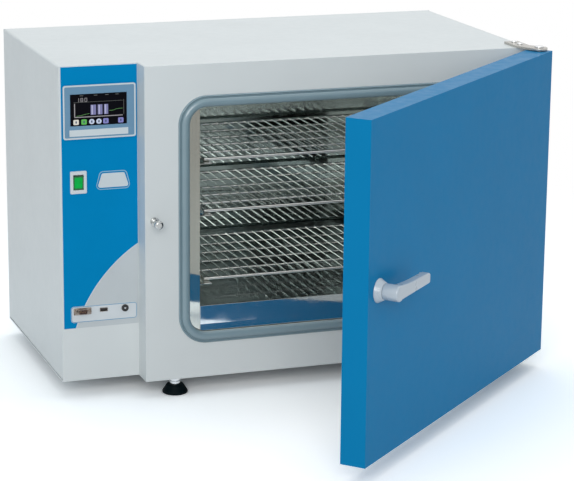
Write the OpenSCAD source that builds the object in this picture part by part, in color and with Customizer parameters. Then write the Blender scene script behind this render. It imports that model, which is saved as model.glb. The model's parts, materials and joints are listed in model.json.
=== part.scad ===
// Dry heat sterilizer: bench oven with a control column on the left and a side hinged door.
// Origin: centre of the front left foot's underside. X to the right, Y to the back, Z up.

/* [Cabinet] */
// Width of the cabinet
cab_w = 844; // [760:2:960]
// Height of the cabinet without its feet
cab_h = 550; // [520:2:640]
// Depth from the column front to the rear panel
cab_d = 412; // [380:2:520]
// How far the chamber front stands proud of the column front
step_out = 44; // [20:1:60]
// Width of the control column
col_w = 136; // [130:1:170]
// Thickness of the casing sheets
sheet = 1.5; // [1:0.1:2.5]
// Outer radius of the long top edges
edge_r = 4; // [3:0.5:8]

/* [Chamber] */
// Width of the chamber front beside the opening, on each side
open_side = 78.5; // [72:0.5:100]
// Height of the chamber front above the opening
open_over = 73; // [68:1:90]
// Height of the opening's lower edge above the cabinet's underside
open_up = 81; // [76:1:90]
// Corner radius of the opening
open_r = 31; // [20:1:40]
// Distance from the chamber's rear wall to the rear panel's outer face
back_room = 82; // [70:1:110]
// Thickness of the liner and the inner sheets
liner_t = 1.2; // [0.8:0.1:1.6]
// Width of the air gap behind each side guide
guide_w = 20.5; // [16:0.5:26]
// Height of the front sill and of the space under the floor cover
sill_h = 45; // [40:1:52]
// How far the guides and the sill sit behind the chamber front
inner_set = 6; // [4:0.5:10]

/* [Shelves] */
// Pitch of the shelf positions
shelf_pitch = 30.5; // [26:0.5:32]
// Height of the lowest shelf rail above the floor cover
shelf_low = 31; // [26:1:40]
// Gap between a shelf end and its side guide
shelf_gap = 22; // [16:1:26]
// Distance from a shelf's rear bar to the chamber's rear wall
shelf_back = 29; // [20:1:50]
// Distance from the chamber front to a shelf's front bar
shelf_set = 54; // [40:1:60]
// Diameter of the front and rear bars
bar_d = 6; // [5:0.5:7]
// Diameter of the cross bars
cross_d = 4; // [3:0.5:5]
// Diameter of the thin wires
wire_d = 2.6; // [2:0.1:3.2]
// Pitch of the thin wires
wire_pitch = 17.8; // [14:0.2:24]
// Number of spaces between the bars
bar_spaces = 5; // [3:1:7]
// Width of a shelf rail's ledge
rail_w = 31; // [28:1:34]
// Height of a shelf rail's web
rail_h = 14; // [10:1:18]

/* [Door] */
// Thickness of the door
door_t = 43; // [38:1:50]
// Gap between the chamber front and the closed door
door_gap = 7; // [5:0.5:9]
// How far the door reaches past the cabinet's right side
door_over = 13; // [11:1:17]
// How far the door reaches past the chamber front's left edge
door_lap = 1; // [0:0.5:4]
// Clearance between the door and each hinge plate
door_clear = 1.5; // [1:0.1:3]
// Width of the painted border on the door's inner side
door_border = 55; // [52:1:60]
// How far the door stands open at rest, in degrees
door_open = 42.3; // [0:0.1:60]
// Width of the door gasket
gasket_w = 19.5; // [16:0.5:22]
// Width of the gasket's soft bead
bead_w = 14.5; // [10:0.5:15]

/* [Handle and latch] */
// Distance from the door's free edge to the handle spindle
spindle_in = 36; // [34:1:38]
// Height of the handle spindle above the cabinet's underside
spindle_up = 278; // [200:1:340]
// Radius of the handle spindle
spindle_r = 5; // [4:0.5:6]
// Distance from the chamber front's left edge to the latch keeper
keeper_in = 16; // [15:0.5:18]
// Height of the latch keeper above the handle spindle
keeper_up = 6; // [2:1:8]
// Radius of the latch keeper's head and foot
keeper_r = 7.5; // [6:0.5:8]
// Radius of the latch keeper's neck
neck_r = 4.5; // [3.5:0.5:5]
// Radius of the handle's neck
grip_r = 13; // [12:0.5:18]
// Length of the handle's bar from the spindle to its tip
grip_l = 108; // [70:1:120]
// How far the handle stands off the door
grip_out = 38; // [34:1:60]

/* [Hinges] */
// Radius of the hinge pins
pin_r = 5; // [4:0.5:5.5]
// Running clearance of the pins in their bushes
pin_clear = 0.05; // [0.02:0.01:0.1]
// Thickness of the hinge plates
hinge_t = 4; // [3:0.5:6]
// Length of the pin inside the door
pin_l = 16; // [12:1:24]

/* [Feet] */
// Height of the feet
foot_h = 31; // [26:1:40]
// Distance from the chamber section's sides to the feet
foot_in = 59; // [40:1:100]
// Distance from the chamber front to the front feet
foot_back = 24; // [24:1:60]
// Distance from the rear panel to the rear feet
foot_rear = 60; // [30:1:90]
// Radius of the rubber foot at the floor
foot_r = 22.5; // [18:0.5:28]
// Radius of the levelling stud
stud_r = 5; // [4:0.5:6]

/* [Controls] */
// Thickness of the label film
film_t = 0.4; // [0.2:0.1:0.6]
// Width of the display frame
disp_w = 126; // [116:1:130]
// Height of the display frame
disp_h = 92; // [84:1:100]
// Height of the display frame's lower edge above the cabinet's underside
disp_up = 425; // [400:1:430]
// Thickness of the display frame
disp_t = 2.5; // [2:0.1:4]
// Width of the visible screen
screen_w = 98; // [90:1:104]
// Height of the visible screen
screen_h = 54; // [48:1:58]
// Width of the switch bezel
switch_w = 28.5; // [24:0.5:32]
// Height of the switch bezel
switch_h = 39; // [34:0.5:42]
// Height of the switch's centre above the cabinet's underside
switch_up = 350.5; // [300:0.5:380]
// Width of the rocker
rocker_w = 17.6; // [14:0.2:20]
// Height of the rocker
rocker_h = 24; // [20:0.5:26]
// Tilt of the rocker to each side, in degrees
rocker_tilt = 6; // [4:0.5:8]
// Width of the port plate
port_w = 116.7; // [110:0.1:120]
// Height of the port plate
port_h = 28.6; // [24:0.2:34]
// Height of the port plate's lower edge above the cabinet's underside
port_up = 104.4; // [98:0.2:120]

/* [Hidden] */
$fn = 48;
// Overlap of pieces that are joined, and how far a cut runs past a face
eps = 0.01;
cut = 1;
// Gap between pieces that don't touch, and around pieces that sit in a hole
gap = 0.3;
fit = 0.2;
// Cabinet faces
foot_x = col_w + foot_in;
x_left = -foot_x;
x_step = x_left + col_w;
x_right = x_left + cab_w;
y_front = -foot_back;
y_col = y_front + step_out;
y_back = y_col + cab_d;
z_low = foot_h;
z_top = z_low + cab_h;
x_mid = (x_step + x_right) / 2;
// Inner faces of the casing
in_left = x_left + sheet;
in_step = x_step + sheet;
in_right = x_right - sheet;
in_front = y_front + sheet;
in_col = y_col + sheet;
in_back = y_back - sheet;
in_low = z_low + sheet;
in_top = z_top - sheet;
// Chamber opening and liner
o_x0 = x_step + open_side;
o_x1 = x_right - open_side;
o_z0 = z_low + open_up;
o_z1 = z_top - open_over;
open_w = o_x1 - o_x0;
open_h = o_z1 - o_z0;
liner_back = y_back - back_room;
guide_x0 = o_x0 + guide_w;
guide_x1 = o_x1 - guide_w;
inner_y = y_front + inner_set;
floor_z = o_z0 + sill_h;
// Slots in the side guides
slot_rows = 7;
slot_l = 28;
slot_w = 8;
slot_pitch = 44;
slot_set = 40;
slot_zs = [floor_z + 12, o_z1 - 22];
// Shelves, as steps of the pitch above the lowest rail
shelf_x0 = guide_x0 + shelf_gap;
shelf_x1 = guide_x1 - shelf_gap;
shelf_y0 = y_front + shelf_set;
shelf_y1 = liner_back - shelf_back;
shelf_d = shelf_y1 - shelf_y0;
shelf_steps = [0, 4, 7];
weld = 0.5;
rail_lead = 20;
rail_tail = 8;
// Door in its closed place
bush_r = pin_r + 2;
bush_flange = 1.2;
d_x0 = x_step - door_lap;
d_x1 = x_right + door_over;
d_y1 = y_front - door_gap;
d_y0 = d_y1 - door_t;
d_z0 = z_low + door_clear;
d_z1 = z_top - door_clear;
axis_x = d_x1 - sheet - bush_r - bush_flange - gap;
axis_y = (d_y0 + d_y1) / 2;
panel_proud = 5;
panel_lip = 4;
panel_edge = 0.4;
plug_in = 24;
plug_r = 16;
// Handle, keeper and latch pocket
sp_x = d_x0 + spindle_in;
sp_z = z_low + spindle_up;
kp_x = x_step + keeper_in;
kp_z = sp_z + keeper_up;
keeper_l = 32;
keeper_head = 8;
keeper_base = 4;
keeper_bevel = 2;
keeper_bolt_r = 3;
keeper_nut_r = 6;
keeper_nut_h = 5;
bolt_end = 8;
pocket_d = keeper_l - door_gap + 5;
pocket_half = 35;
pocket_wall = 1.2;
pocket_x0 = d_x0 + sheet + 0.7;
pocket_x1 = sp_x + 14;
escutcheon_h = 11;
escutcheon_r = grip_r + 7;
grip_tip = 8.5;
grip_t = 13;
// Latch claw: its angles run from +X towards +Z round the spindle
latch_reach = sqrt(pow(kp_x - sp_x, 2) + pow(kp_z - sp_z, 2));
latch_angle = atan2(kp_z - sp_z, kp_x - sp_x);
claw_t = 5;
claw_rim = 3.4;
claw_turn = 60;
claw_lead = asin((keeper_r + 1.3) / latch_reach) + 1;
claw_span = claw_turn + claw_lead - 12;
claw_web = 12;
slot_half = neck_r + 0.6;
claw_y = y_front - keeper_l + keeper_head + 1;
// Hinges
hinge_w = 26;
hinge_in = 2;
hinge_back = 49;
hinge_round = 15;
hinge_angle = 20;
screw_r = 3;
screw_head_r = 5;
screw_head_h = 2.5;
hinge_screw_x = x_right - hinge_in - hinge_w / 2;
hinge_screws = [y_front + 12, y_front + 36];
bush_end = 6;
bush_seat = 3;
// Feet
far_x = cab_w - col_w - 2 * foot_in;
far_y = y_back - foot_rear;
feet = [[0, 0], [far_x, 0], [0, far_y], [far_x, far_y]];
pad_h = 16;
pad_in = 7;
cap_h = 6;
nut_h = 8;
nut_r = 9.8;
boss_wall = 4;
stud_in = 20;
stud_clear = 0.2;
pit_r = stud_r + 6;
pit_h = stud_in + 2;
// Insulation faces
ins_low = o_z0 - liner_t - gap;
ins_top = o_z1 + liner_t + gap;
ins_x0 = o_x0 - liner_t - gap;
ins_x1 = o_x1 + liner_t + gap;
ins_front = in_front + gap;
// Label, display, name strip and badge
f_y = y_col - film_t;
lab_x0 = x_left + 3.7;
lab_x1 = x_step - 0.6;
lab_z0 = z_low + 94.5;
lab_z1 = z_top - 2;
arc_r = 263.6;
arc_x = lab_x1 + 139.8;
arc_z = lab_z0 - 80.7;
disp_x0 = x_left + 6.4;
disp_z0 = z_low + disp_up;
disp_y = f_y - disp_t;
disp_r = 4;
scr_x0 = disp_x0 + (disp_w - screen_w) / 2 - 1.4;
scr_z0 = disp_z0 + disp_h - screen_h - 15.5;
glass_set = 0.8;
glass_back = in_col + 8;
strip_t = 0.3;
strip_up = 5;
strip_h = 11;
badge_x0 = x_left + 59;
badge_w = 67;
badge_h = 32;
badge_in = 8;
badge_r = 7.5;
badge_t = 1;
// Switch
sw_x = x_left + 31.7;
sw_z = z_low + switch_up;
switch_body_w = rocker_w + 4;
switch_body_h = rocker_h + 8;
bezel_t = 2;
rocker_y = y_col + 4;
rocker_room = 12;
rocker_pin_r = 1.5;
rocker_pin_l = 1.2;
// Ports
port_x0 = x_left + 15.9;
port_z0 = z_low + port_up;
port_t = 1;
port_r = 5;
port_y = f_y - port_t;
port_line = port_z0 + port_h - 9;
serial_x = port_x0 + 19.9;
usb_x = port_x0 + 57.6;
jack_x = port_x0 + 95.2;
serial_body = [19.4, 9.4];
usb_body = [13.4, 6.2];
jack_body_r = 4;
// Vent, probe and heating elements
vent_x = x_mid;
vent_z = o_z1 - 30;
vent_r = 13;
vent_wall = 1.2;
damper_r = 24;
plate_t = 1.5;
damper_t = 1.8;
pivot_r = 2.5;
hub_r = 5;
probe_x = x_mid + 90;
probe_z = o_z1 - 40;
probe_r = 3;
probe_in = 40;
gland_wall = 3;
gland_end = 20;
heater_r = 4.2;
heater_z = o_z0 + sill_h / 2;
heater_bend = 40;
heater_set = 30;
heater_tail = 30;
collar_wall = 2;
collar_h = 6;
heater_sets = [x_mid - 150, x_mid + 150];
heater_legs = [for (x = heater_sets, s = [-1, 1]) x + s * heater_bend];
// Rear panel, mains inlet and louvres
inlet_w = 28;
inlet_h = 24;
inlet_x = x_left + 60;
inlet_z = z_low + 160;
inlet_t = 2.5;
inlet_flange = 25;
inlet_screw = 20;
louvres = 6;
louvre_pitch = 12;
louvre_w = 80;
louvre_h = 4.5;
louvre_in = 20;
louvre_zs = [z_low + 60, z_top - 120];
rear_in = 12;
rear_xs = [x_left + rear_in, x_step, x_mid, x_right - rear_in];
rear_screws = [for (x = rear_xs, z = [z_low + rear_in, z_top - rear_in]) [x, z]];
rear_screw_r = 1.6;

// A block between two opposite corners
module block(a, b) translate(a) cube(b - a);

// A flat outline in X and Z, made solid from y = a to y = b
module wall(a, b) translate([0, b, 0]) rotate([90, 0, 0]) linear_extrude(b - a) children();

// A flat outline in X and Y, made solid from z = a to z = b
module slab(a, b) translate([0, 0, a]) linear_extrude(b - a) children();

// A rod along Y from y = a to y = b
module rod_y(x, z, r, a, b) translate([x, b, z]) rotate([90, 0, 0]) cylinder(h = b - a, r = r);

// A rod along X from x = a to x = b
module rod_x(y, z, r, a, b) translate([a, y, z]) rotate([0, 90, 0]) cylinder(h = b - a, r = r);

// A rod along Z from z = a to z = b
module rod_z(x, y, r, a, b) translate([x, y, a]) cylinder(h = b - a, r = r);

// A rectangle between two corners
module rect(x0, z0, x1, z1) translate([x0, z0]) square([x1 - x0, z1 - z0]);

// A rectangle round a centre
module centred(x, z, w, h) translate([x, z]) square([w, h], center = true);

// A rectangle with round corners
module round_rect(x0, z0, x1, z1, r) {
    rect(x0 + r, z0, x1 - r, z1);
    rect(x0, z0 + r, x1, z1 - r);
    for (x = [x0 + r, x1 - r], z = [z0 + r, z1 - r]) translate([x, z]) circle(r);
}

function unit(v) = v / norm(v);

function turned(v, t) = [v[0] * cos(t) - v[1] * sin(t), v[0] * sin(t) + v[1] * cos(t)];

// Points round the corner p of an anticlockwise outline, between its neighbours a and b
function corner_arc(a, p, b, r, steps) =
    let (u = unit(a - p), v = unit(b - p), half = acos(u * v) / 2,
        mid = p + unit(u + v) * r / sin(half), start = p + u * r / tan(half) - mid)
    [for (k = [0:steps]) mid + turned(start, (180 - 2 * half) * k / steps)];

// An anticlockwise outline with its corners rounded
function rounded(points, r, steps = 6) =
    let (n = len(points))
    [for (k = [0:n - 1], q = corner_arc(points[(k + n - 1) % n], points[k], points[(k + 1) % n], r, steps)) q];

// The opening's outline, grown by g
module opening(g) round_rect(o_x0 - g, o_z0 - g, o_x1 + g, o_z1 + g, open_r + g);

// Swings the closed door's pieces to the rest position
module at_rest() {
    translate([axis_x, axis_y, 0]) rotate([0, 0, door_open]) translate([-axis_x, -axis_y, 0]) children();
}

// Casing
module casing_wrap() color("whitesmoke") difference() {
    casing_sheet();
    for (y = hinge_screws) rod_z(hinge_screw_x, y, screw_r, in_top - cut, z_top + cut);
}

// The bent sheet: left side, top and right side, with the step beside the column
module casing_sheet() {
    wall(in_col, in_back) difference() {
        round_rect(x_left, in_low, x_right, z_top, edge_r);
        round_rect(in_left, in_low - sheet, in_right, in_top, edge_r - sheet);
        rect(in_left, in_low - 1, in_right, in_low + edge_r + 1);
        rect(x_left - 1, in_low - 1, x_right + 1, in_low);
    }
    wall(in_front, in_col) difference() {
        round_rect(in_step, in_low, x_right, z_top, edge_r);
        rect(in_step - 1, in_low - 1, in_step + edge_r + 1, in_top);
        round_rect(in_step - edge_r, in_low - sheet, in_right, in_top, edge_r - sheet);
        rect(in_step, in_low - 1, in_right, in_low + edge_r + 1);
    }
}

module base_pan() color("whitesmoke") difference() {
    union() {
        slab(z_low, in_low) rect(x_left, in_col, x_right, in_back);
        slab(z_low, in_low) rect(in_step, in_front, x_right, in_col + eps);
        for (f = feet) rod_z(f[0], f[1], stud_r + boss_wall, in_low - eps, in_low + nut_h);
    }
    for (f = feet) rod_z(f[0], f[1], stud_r + stud_clear, z_low - cut, in_low + nut_h + cut);
    for (y = hinge_screws) rod_z(hinge_screw_x, y, screw_r, z_low - cut, in_low + cut);
}

// One louvre slot with its lower edge at z
module louvre(z) rect(in_left + louvre_in, z, in_left + louvre_in + louvre_w, z + louvre_h);

module rear_panel() color("whitesmoke") difference() {
    wall(in_back, y_back) rect(x_left, z_low, x_right, z_top);
    rod_y(vent_x, vent_z, vent_r, in_back - cut, y_back + cut);
    wall(in_back - cut, y_back + cut) {
        centred(inlet_x, inlet_z, inlet_w, inlet_h);
        for (n = [0:louvres - 1], z = louvre_zs) louvre(z + n * louvre_pitch);
    }
    for (p = rear_screws) rod_y(p[0], p[1], rear_screw_r + gap / 3, in_back - cut, y_back + cut);
}

module column_front() color("whitesmoke") difference() {
    wall(y_col, in_col) rect(x_left, z_low, x_step, z_top);
    wall(y_col - cut, in_col + cut) column_holes();
}

// Holes for the screen, the switch and the ports
module column_holes() {
    screen_outline(1);
    switch_body(0);
    port_holes();
}

module screen_outline(g) rect(scr_x0 - g, scr_z0 - g, scr_x0 + screen_w + g, scr_z0 + screen_h + g);

module switch_body(g) centred(sw_x, sw_z, switch_body_w - 2 * g, switch_body_h - 2 * g);

module chamber_front() color("whitesmoke") {
    difference() {
        wall(y_front, in_front) rect(x_step, z_low, x_right, z_top);
        wall(y_front - cut, in_front + cut) opening(0);
        rod_y(kp_x, kp_z, keeper_bolt_r, y_front - cut, in_front + cut);
    }
    block([x_step, in_front - eps, z_low], [in_step, in_col, z_top]);
}

module column_bulkhead() color("gainsboro") {
    block([x_step, in_col, in_low], [in_step, in_back, in_top]);
}

// Film, display and switch
module label_outline() rect(lab_x0, lab_z0, lab_x1, lab_z1);

module label_arc() translate([arc_x, arc_z]) circle(arc_r, $fn = 96);

module label_blue() color([0, 0.49, 0.71]) wall(f_y, y_col) difference() {
    label_outline();
    label_arc();
    column_holes();
}

module label_grey() color([0.75, 0.8, 0.82]) wall(f_y, y_col) difference() {
    intersection() {
        label_outline();
        label_arc();
    }
    column_holes();
}

module display_frame() color("lightsteelblue") wall(disp_y, f_y) difference() {
    round_rect(disp_x0, disp_z0, disp_x0 + disp_w, disp_z0 + disp_h, disp_r);
    screen_outline(0);
}

module display_screen() color([0.05, 0.05, 0.08]) wall(disp_y + glass_set, glass_back) screen_outline(-fit);

module name_strip() color("white") wall(disp_y - strip_t, disp_y) {
    rect(scr_x0 - 2, disp_z0 + strip_up, scr_x0 + screen_w + 2, disp_z0 + strip_up + strip_h);
}

module badge_plate() color("gainsboro") wall(f_y - badge_t, f_y) {
    low = sw_z + 0.5 - badge_h / 2;
    high = low + badge_h;
    polygon(rounded([[badge_x0, low], [badge_x0 + badge_w, low],
        [badge_x0 + badge_w - badge_in, high], [badge_x0 + badge_in, high]], badge_r));
}

module switch_bezel() color("lightgray") difference() {
    union() {
        wall(f_y - bezel_t, f_y) round_rect(sw_x - switch_w / 2, sw_z - switch_h / 2,
            sw_x + switch_w / 2, sw_z + switch_h / 2, 2);
        wall(f_y - eps, in_col + rocker_room + 6) switch_body(fit);
    }
    wall(f_y - bezel_t - cut, in_col + rocker_room)
        centred(sw_x, sw_z, rocker_w + 2 * gap, rocker_h + 8 * gap);
    rocker_pin(rocker_pin_r + pin_clear, rocker_pin_l + pin_clear);
}

// The rocker's pivot, with its ends in the bezel's side walls
module rocker_pin(r, l) rod_x(rocker_y, sw_z, r, sw_x - rocker_w / 2 - l, sw_x + rocker_w / 2 + l);

// The rocker is a shallow V on a pivot, drawn level and then tilted to its rest side
module rocker_outline() {
    face = rocker_y - f_y + bezel_t + 0.4;
    half = rocker_h / 2;
    rise = half * tan(rocker_tilt);
    back = 4;
    back_in = 3;
    back_half = half - back_in;
    polygon([[rise - face, 0], [-face, half], [back, back_half], [back, -back_half], [-face, -half]]);
}

module power_rocker() color("limegreen") {
    translate([sw_x - rocker_w / 2, rocker_y, sw_z]) rotate([rocker_tilt, 0, 0])
        rotate([90, 0, 90]) linear_extrude(rocker_w) rocker_outline();
    rocker_pin(rocker_pin_r, rocker_pin_l);
}

// Ports
module port_holes() {
    centred(serial_x, port_line, serial_body[0] + 2 * gap, serial_body[1] + 2 * gap);
    centred(usb_x, port_line, usb_body[0] + 2 * gap, usb_body[1] + 2 * gap);
    translate([jack_x, port_line]) circle(jack_body_r + fit);
}

module port_plate() color("gainsboro") wall(port_y, f_y) difference() {
    round_rect(port_x0, port_z0, port_x0 + port_w, port_z0 + port_h, port_r);
    port_holes();
}

// The outline of a nine way serial shell
module serial_outline(g) {
    half_w = 8.2 + g;
    half_h = 3.9 + g;
    slope = 1.3;
    translate([serial_x, port_line]) polygon([[-half_w, half_h], [half_w, half_h],
        [half_w - slope, -half_h], [slope - half_w, -half_h]]);
}

module serial_socket() color("silver") {
    flange = [31, 12];
    flange_y = port_y - 1;
    shell_y = port_y - 6;
    floor_y = port_y - 1.5;
    pin_pitch = 2.7;
    row = 1.4;
    difference() {
        union() {
            wall(flange_y, port_y) centred(serial_x, port_line, flange[0], flange[1]);
            wall(shell_y, port_y) serial_outline(0.4);
            wall(port_y - eps, in_col + 8) centred(serial_x, port_line, serial_body[0], serial_body[1]);
            for (s = [-1, 1]) rod_y(serial_x + s * 12.5, port_line, 2.6, port_y - 5, flange_y + eps);
        }
        wall(shell_y - cut, floor_y) serial_outline(-fit);
        for (s = [-1, 1]) rod_y(serial_x + s * 12.5, port_line, 1.4, shell_y, port_y - 2);
    }
    for (k = [-2:2]) rod_y(serial_x + k * pin_pitch, port_line + row, 0.5, port_y - 5, floor_y + eps);
    for (k = [0:3]) rod_y(serial_x + (k - 1.5) * pin_pitch, port_line - row, 0.5, port_y - 5, floor_y + eps);
}

module usb_socket() color("silver") {
    shell = 0.5;
    tongue = [10.6, 1.6];
    floor_y = in_col + 6;
    difference() {
        wall(port_y - 1, floor_y + 4) centred(usb_x, port_line, usb_body[0], usb_body[1]);
        wall(port_y - 2, floor_y) centred(usb_x, port_line, usb_body[0] - 2 * shell, usb_body[1] - 2 * shell);
    }
    wall(port_y, floor_y + eps) centred(usb_x, port_line + shell + 0.7, tongue[0], tongue[1]);
}

module probe_jack() color("dimgray") difference() {
    nose = 2.5;
    union() {
        rod_y(jack_x, port_line, 6.2, port_y - nose, port_y);
        rod_y(jack_x, port_line, jack_body_r, port_y - eps, in_col + 14);
    }
    rod_y(jack_x, port_line, 2.8, port_y - nose - cut, in_col + 4);
}

// Latch keeper
module latch_keeper() color("silver") {
    tip_y = y_front - keeper_l;
    head_y = tip_y + keeper_bevel;
    rod_y(kp_x, kp_z, keeper_r, y_front - keeper_base, y_front);
    rod_y(kp_x, kp_z, neck_r, tip_y + keeper_head - cut, y_front - keeper_base + eps);
    rod_y(kp_x, kp_z, keeper_r, head_y, tip_y + keeper_head);
    translate([kp_x, head_y, kp_z]) rotate([90, 0, 0])
        cylinder(h = keeper_bevel, r1 = keeper_r, r2 = keeper_r - 2.5);
    rod_y(kp_x, kp_z, keeper_bolt_r - gap / 3, y_front - eps, in_front + bolt_end);
    rod_y(kp_x, kp_z, keeper_nut_r, in_front, in_front + keeper_nut_h);
}

// Gasket: a flat lip with a round bead, swept round the opening
module gasket_profile() {
    proud = door_gap - gap;
    lip = 2;
    square([gasket_w, lip]);
    bead_r = (pow(bead_w / 2, 2) + pow(proud, 2)) / (2 * proud);
    intersection() {
        translate([bead_w / 2, proud - bead_r]) circle(bead_r);
        square([bead_w, proud]);
    }
}

module gasket_run(l) rotate([90, 0, 90]) linear_extrude(l) gasket_profile();

module door_gasket() color("slategray") translate([0, y_front, 0]) rotate([90, 0, 0]) {
    run_w = open_w - 2 * open_r;
    run_h = open_h - 2 * open_r;
    corners = [[o_x1 - open_r, o_z1 - open_r, 0], [o_x0 + open_r, o_z1 - open_r, 90],
        [o_x0 + open_r, o_z0 + open_r, 180], [o_x1 - open_r, o_z0 + open_r, 270]];
    for (c = corners) translate([c[0], c[1], 0]) rotate([0, 0, c[2]])
        rotate_extrude(angle = 90, $fn = 96) translate([open_r, 0]) gasket_profile();
    translate([o_x0 + open_r, o_z1, 0]) gasket_run(run_w);
    translate([o_x1 - open_r, o_z0, 0]) rotate([0, 0, 180]) gasket_run(run_w);
    translate([o_x1, o_z1 - open_r, 0]) rotate([0, 0, -90]) gasket_run(run_h);
    translate([o_x0, o_z0 + open_r, 0]) rotate([0, 0, 90]) gasket_run(run_h);
}

// Chamber
module chamber_liner() color("silver") difference() {
    wall(in_front, liner_back + liner_t) opening(liner_t);
    wall(in_front - cut, liner_back) opening(0);
    liner_hole(vent_x, vent_z, vent_r);
    liner_hole(probe_x, probe_z, probe_r + fit);
    for (x = heater_legs) liner_hole(x, heater_z, heater_r + fit);
}

// A hole through the liner's rear wall
module liner_hole(x, z, r) rod_y(x, z, r, liner_back - cut, liner_back + liner_t + cut);

// A side guide facing +X, with its outer edge on the liner's wall
module side_guide() color("silver") intersection() {
    wall(inner_y, liner_back - gap) opening(-gap);
    difference() {
        union() {
            block([guide_x0 - liner_t, inner_y, o_z0], [guide_x0, liner_back - gap, o_z1]);
            block([o_x0, inner_y, o_z0], [guide_x0, inner_y + liner_t, o_z1]);
        }
        for (n = [0:slot_rows - 1], z = slot_zs) guide_slot(inner_y + slot_set + n * slot_pitch, z);
    }
}

// An air slot through the left guide
module guide_slot(y, z) block([guide_x0 - liner_t - cut, y, z], [guide_x0 + cut, y + slot_l, z + slot_w]);

module side_guide_left() side_guide();

module side_guide_right() translate([2 * x_mid, 0, 0]) mirror([1, 0, 0]) side_guide();

module floor_cover() color("silver") intersection() {
    x0 = guide_x0 + gap;
    x1 = guide_x1 - gap;
    wall(inner_y, liner_back - gap) opening(-gap);
    union() {
        block([x0, inner_y, floor_z - liner_t], [x1, liner_back - gap, floor_z]);
        block([x0, inner_y, o_z0], [x1, inner_y + liner_t, floor_z]);
    }
}

function rail_top(k) = floor_z + shelf_low + shelf_steps[k] * shelf_pitch;

module shelf_rails() color("silver") for (k = [0:len(shelf_steps) - 1]) {
    z = rail_top(k);
    y0 = shelf_y0 - rail_lead;
    y1 = shelf_y1 + rail_tail;
    block([guide_x0, y0, z - liner_t], [guide_x0 + rail_w, y1, z]);
    block([guide_x0, y0, z - liner_t], [guide_x0 + liner_t, y1, z + rail_h]);
}

module shelf_rails_left() shelf_rails();

module shelf_rails_right() translate([2 * x_mid, 0, 0]) mirror([1, 0, 0]) shelf_rails();

// A wire shelf whose bars rest on the rails' ledges
module wire_shelf(k) color("silver") {
    z = rail_top(k) + gap;
    wires = floor((shelf_x1 - shelf_x0 - 2 * bar_d) / wire_pitch);
    wire_x0 = (shelf_x0 + shelf_x1 - wires * wire_pitch) / 2;
    wire_z = z + cross_d + wire_d / 2 - weld;
    step = shelf_d / bar_spaces;
    for (n = [1:bar_spaces - 1]) rod_x(shelf_y0 + n * step, z + cross_d / 2, cross_d / 2, shelf_x0, shelf_x1);
    for (y = [shelf_y0, shelf_y1]) rod_x(y, z + bar_d / 2, bar_d / 2, shelf_x0, shelf_x1);
    for (n = [0:wires]) rod_y(wire_x0 + n * wire_pitch, wire_z, wire_d / 2, shelf_y0, shelf_y1);
}

module shelf_top() wire_shelf(2);

module shelf_middle() wire_shelf(1);

module shelf_bottom() wire_shelf(0);

// Two hairpin elements that come in through the liner's rear wall
module heating_elements() color("dimgray") {
    bend_y = inner_y + heater_set + heater_bend;
    back_y = liner_back + liner_t;
    for (x = heater_sets) translate([x, bend_y, heater_z]) rotate([0, 0, 180])
        rotate_extrude(angle = 180) translate([heater_bend, 0]) circle(heater_r);
    for (x = heater_legs) {
        rod_y(x, heater_z, heater_r, bend_y, liner_back + heater_tail);
        rod_y(x, heater_z, heater_r + collar_wall, back_y, back_y + collar_h);
    }
}

module temperature_probe() color("silver") {
    rod_y(probe_x, probe_z, probe_r, liner_back - probe_in, liner_back + gland_end + 5);
    rod_y(probe_x, probe_z, probe_r + gland_wall, liner_back + liner_t, liner_back + gland_end);
}

module vent_tube() color("silver") difference() {
    rod_y(vent_x, vent_z, vent_r + vent_wall, liner_back + liner_t, in_back);
    rod_y(vent_x, vent_z, vent_r, liner_back, in_back + cut);
}

// A half round port, open from 0 to 180 degrees
module half_port() translate([vent_x, vent_z]) difference() {
    circle(vent_r);
    circle(hub_r);
    translate([-2 * vent_r, -2 * vent_r]) square([4 * vent_r, 2 * vent_r]);
}

module vent_plate() color("gainsboro") {
    difference() {
        rod_y(vent_x, vent_z, damper_r + 3, y_back, y_back + plate_t);
        wall(y_back - cut, y_back + plate_t + cut) half_port();
    }
    rod_y(vent_x, vent_z, pivot_r, y_back + plate_t - eps, y_back + 5);
    rod_y(vent_x, vent_z, pivot_r + 2, y_back + 4.2, y_back + 6);
}

module vent_damper() color("silver") {
    front = y_back + plate_t + gap;
    knob_r = 3;
    difference() {
        rod_y(vent_x, vent_z, damper_r, front, front + damper_t);
        wall(front - cut, front + damper_t + cut) half_port();
        rod_y(vent_x, vent_z, pivot_r + pin_clear, front - cut, front + damper_t + cut);
    }
    rod_y(vent_x, vent_z - damper_r + 2 * knob_r, knob_r, front + damper_t - eps, front + 10);
}

// Insulation
module foot_pits() for (f = feet) rod_z(f[0], f[1], pit_r, in_low, in_low + pit_h);

module insulation_top() color("khaki") intersection() {
    block([in_step + gap, ins_front, ins_top], [in_right - gap, in_back - gap, in_top - gap]);
    wall(in_front, in_back)
        round_rect(in_step - edge_r, in_low, in_right - gap, in_top - gap, edge_r - sheet);
}

module insulation_bottom() color("khaki") difference() {
    block([in_step + gap, ins_front, in_low + gap], [in_right - gap, in_back - gap, ins_low]);
    foot_pits();
}

module insulation_left() color("khaki") difference() {
    block([in_step + gap, ins_front, ins_low + gap], [ins_x0, in_back - gap, ins_top - gap]);
    rod_y(kp_x, kp_z, keeper_nut_r + 4, ins_front - cut, ins_front + bolt_end + 4);
}

module insulation_right() color("khaki") {
    block([ins_x1, ins_front, ins_low + gap], [in_right - gap, in_back - gap, ins_top - gap]);
}

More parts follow.
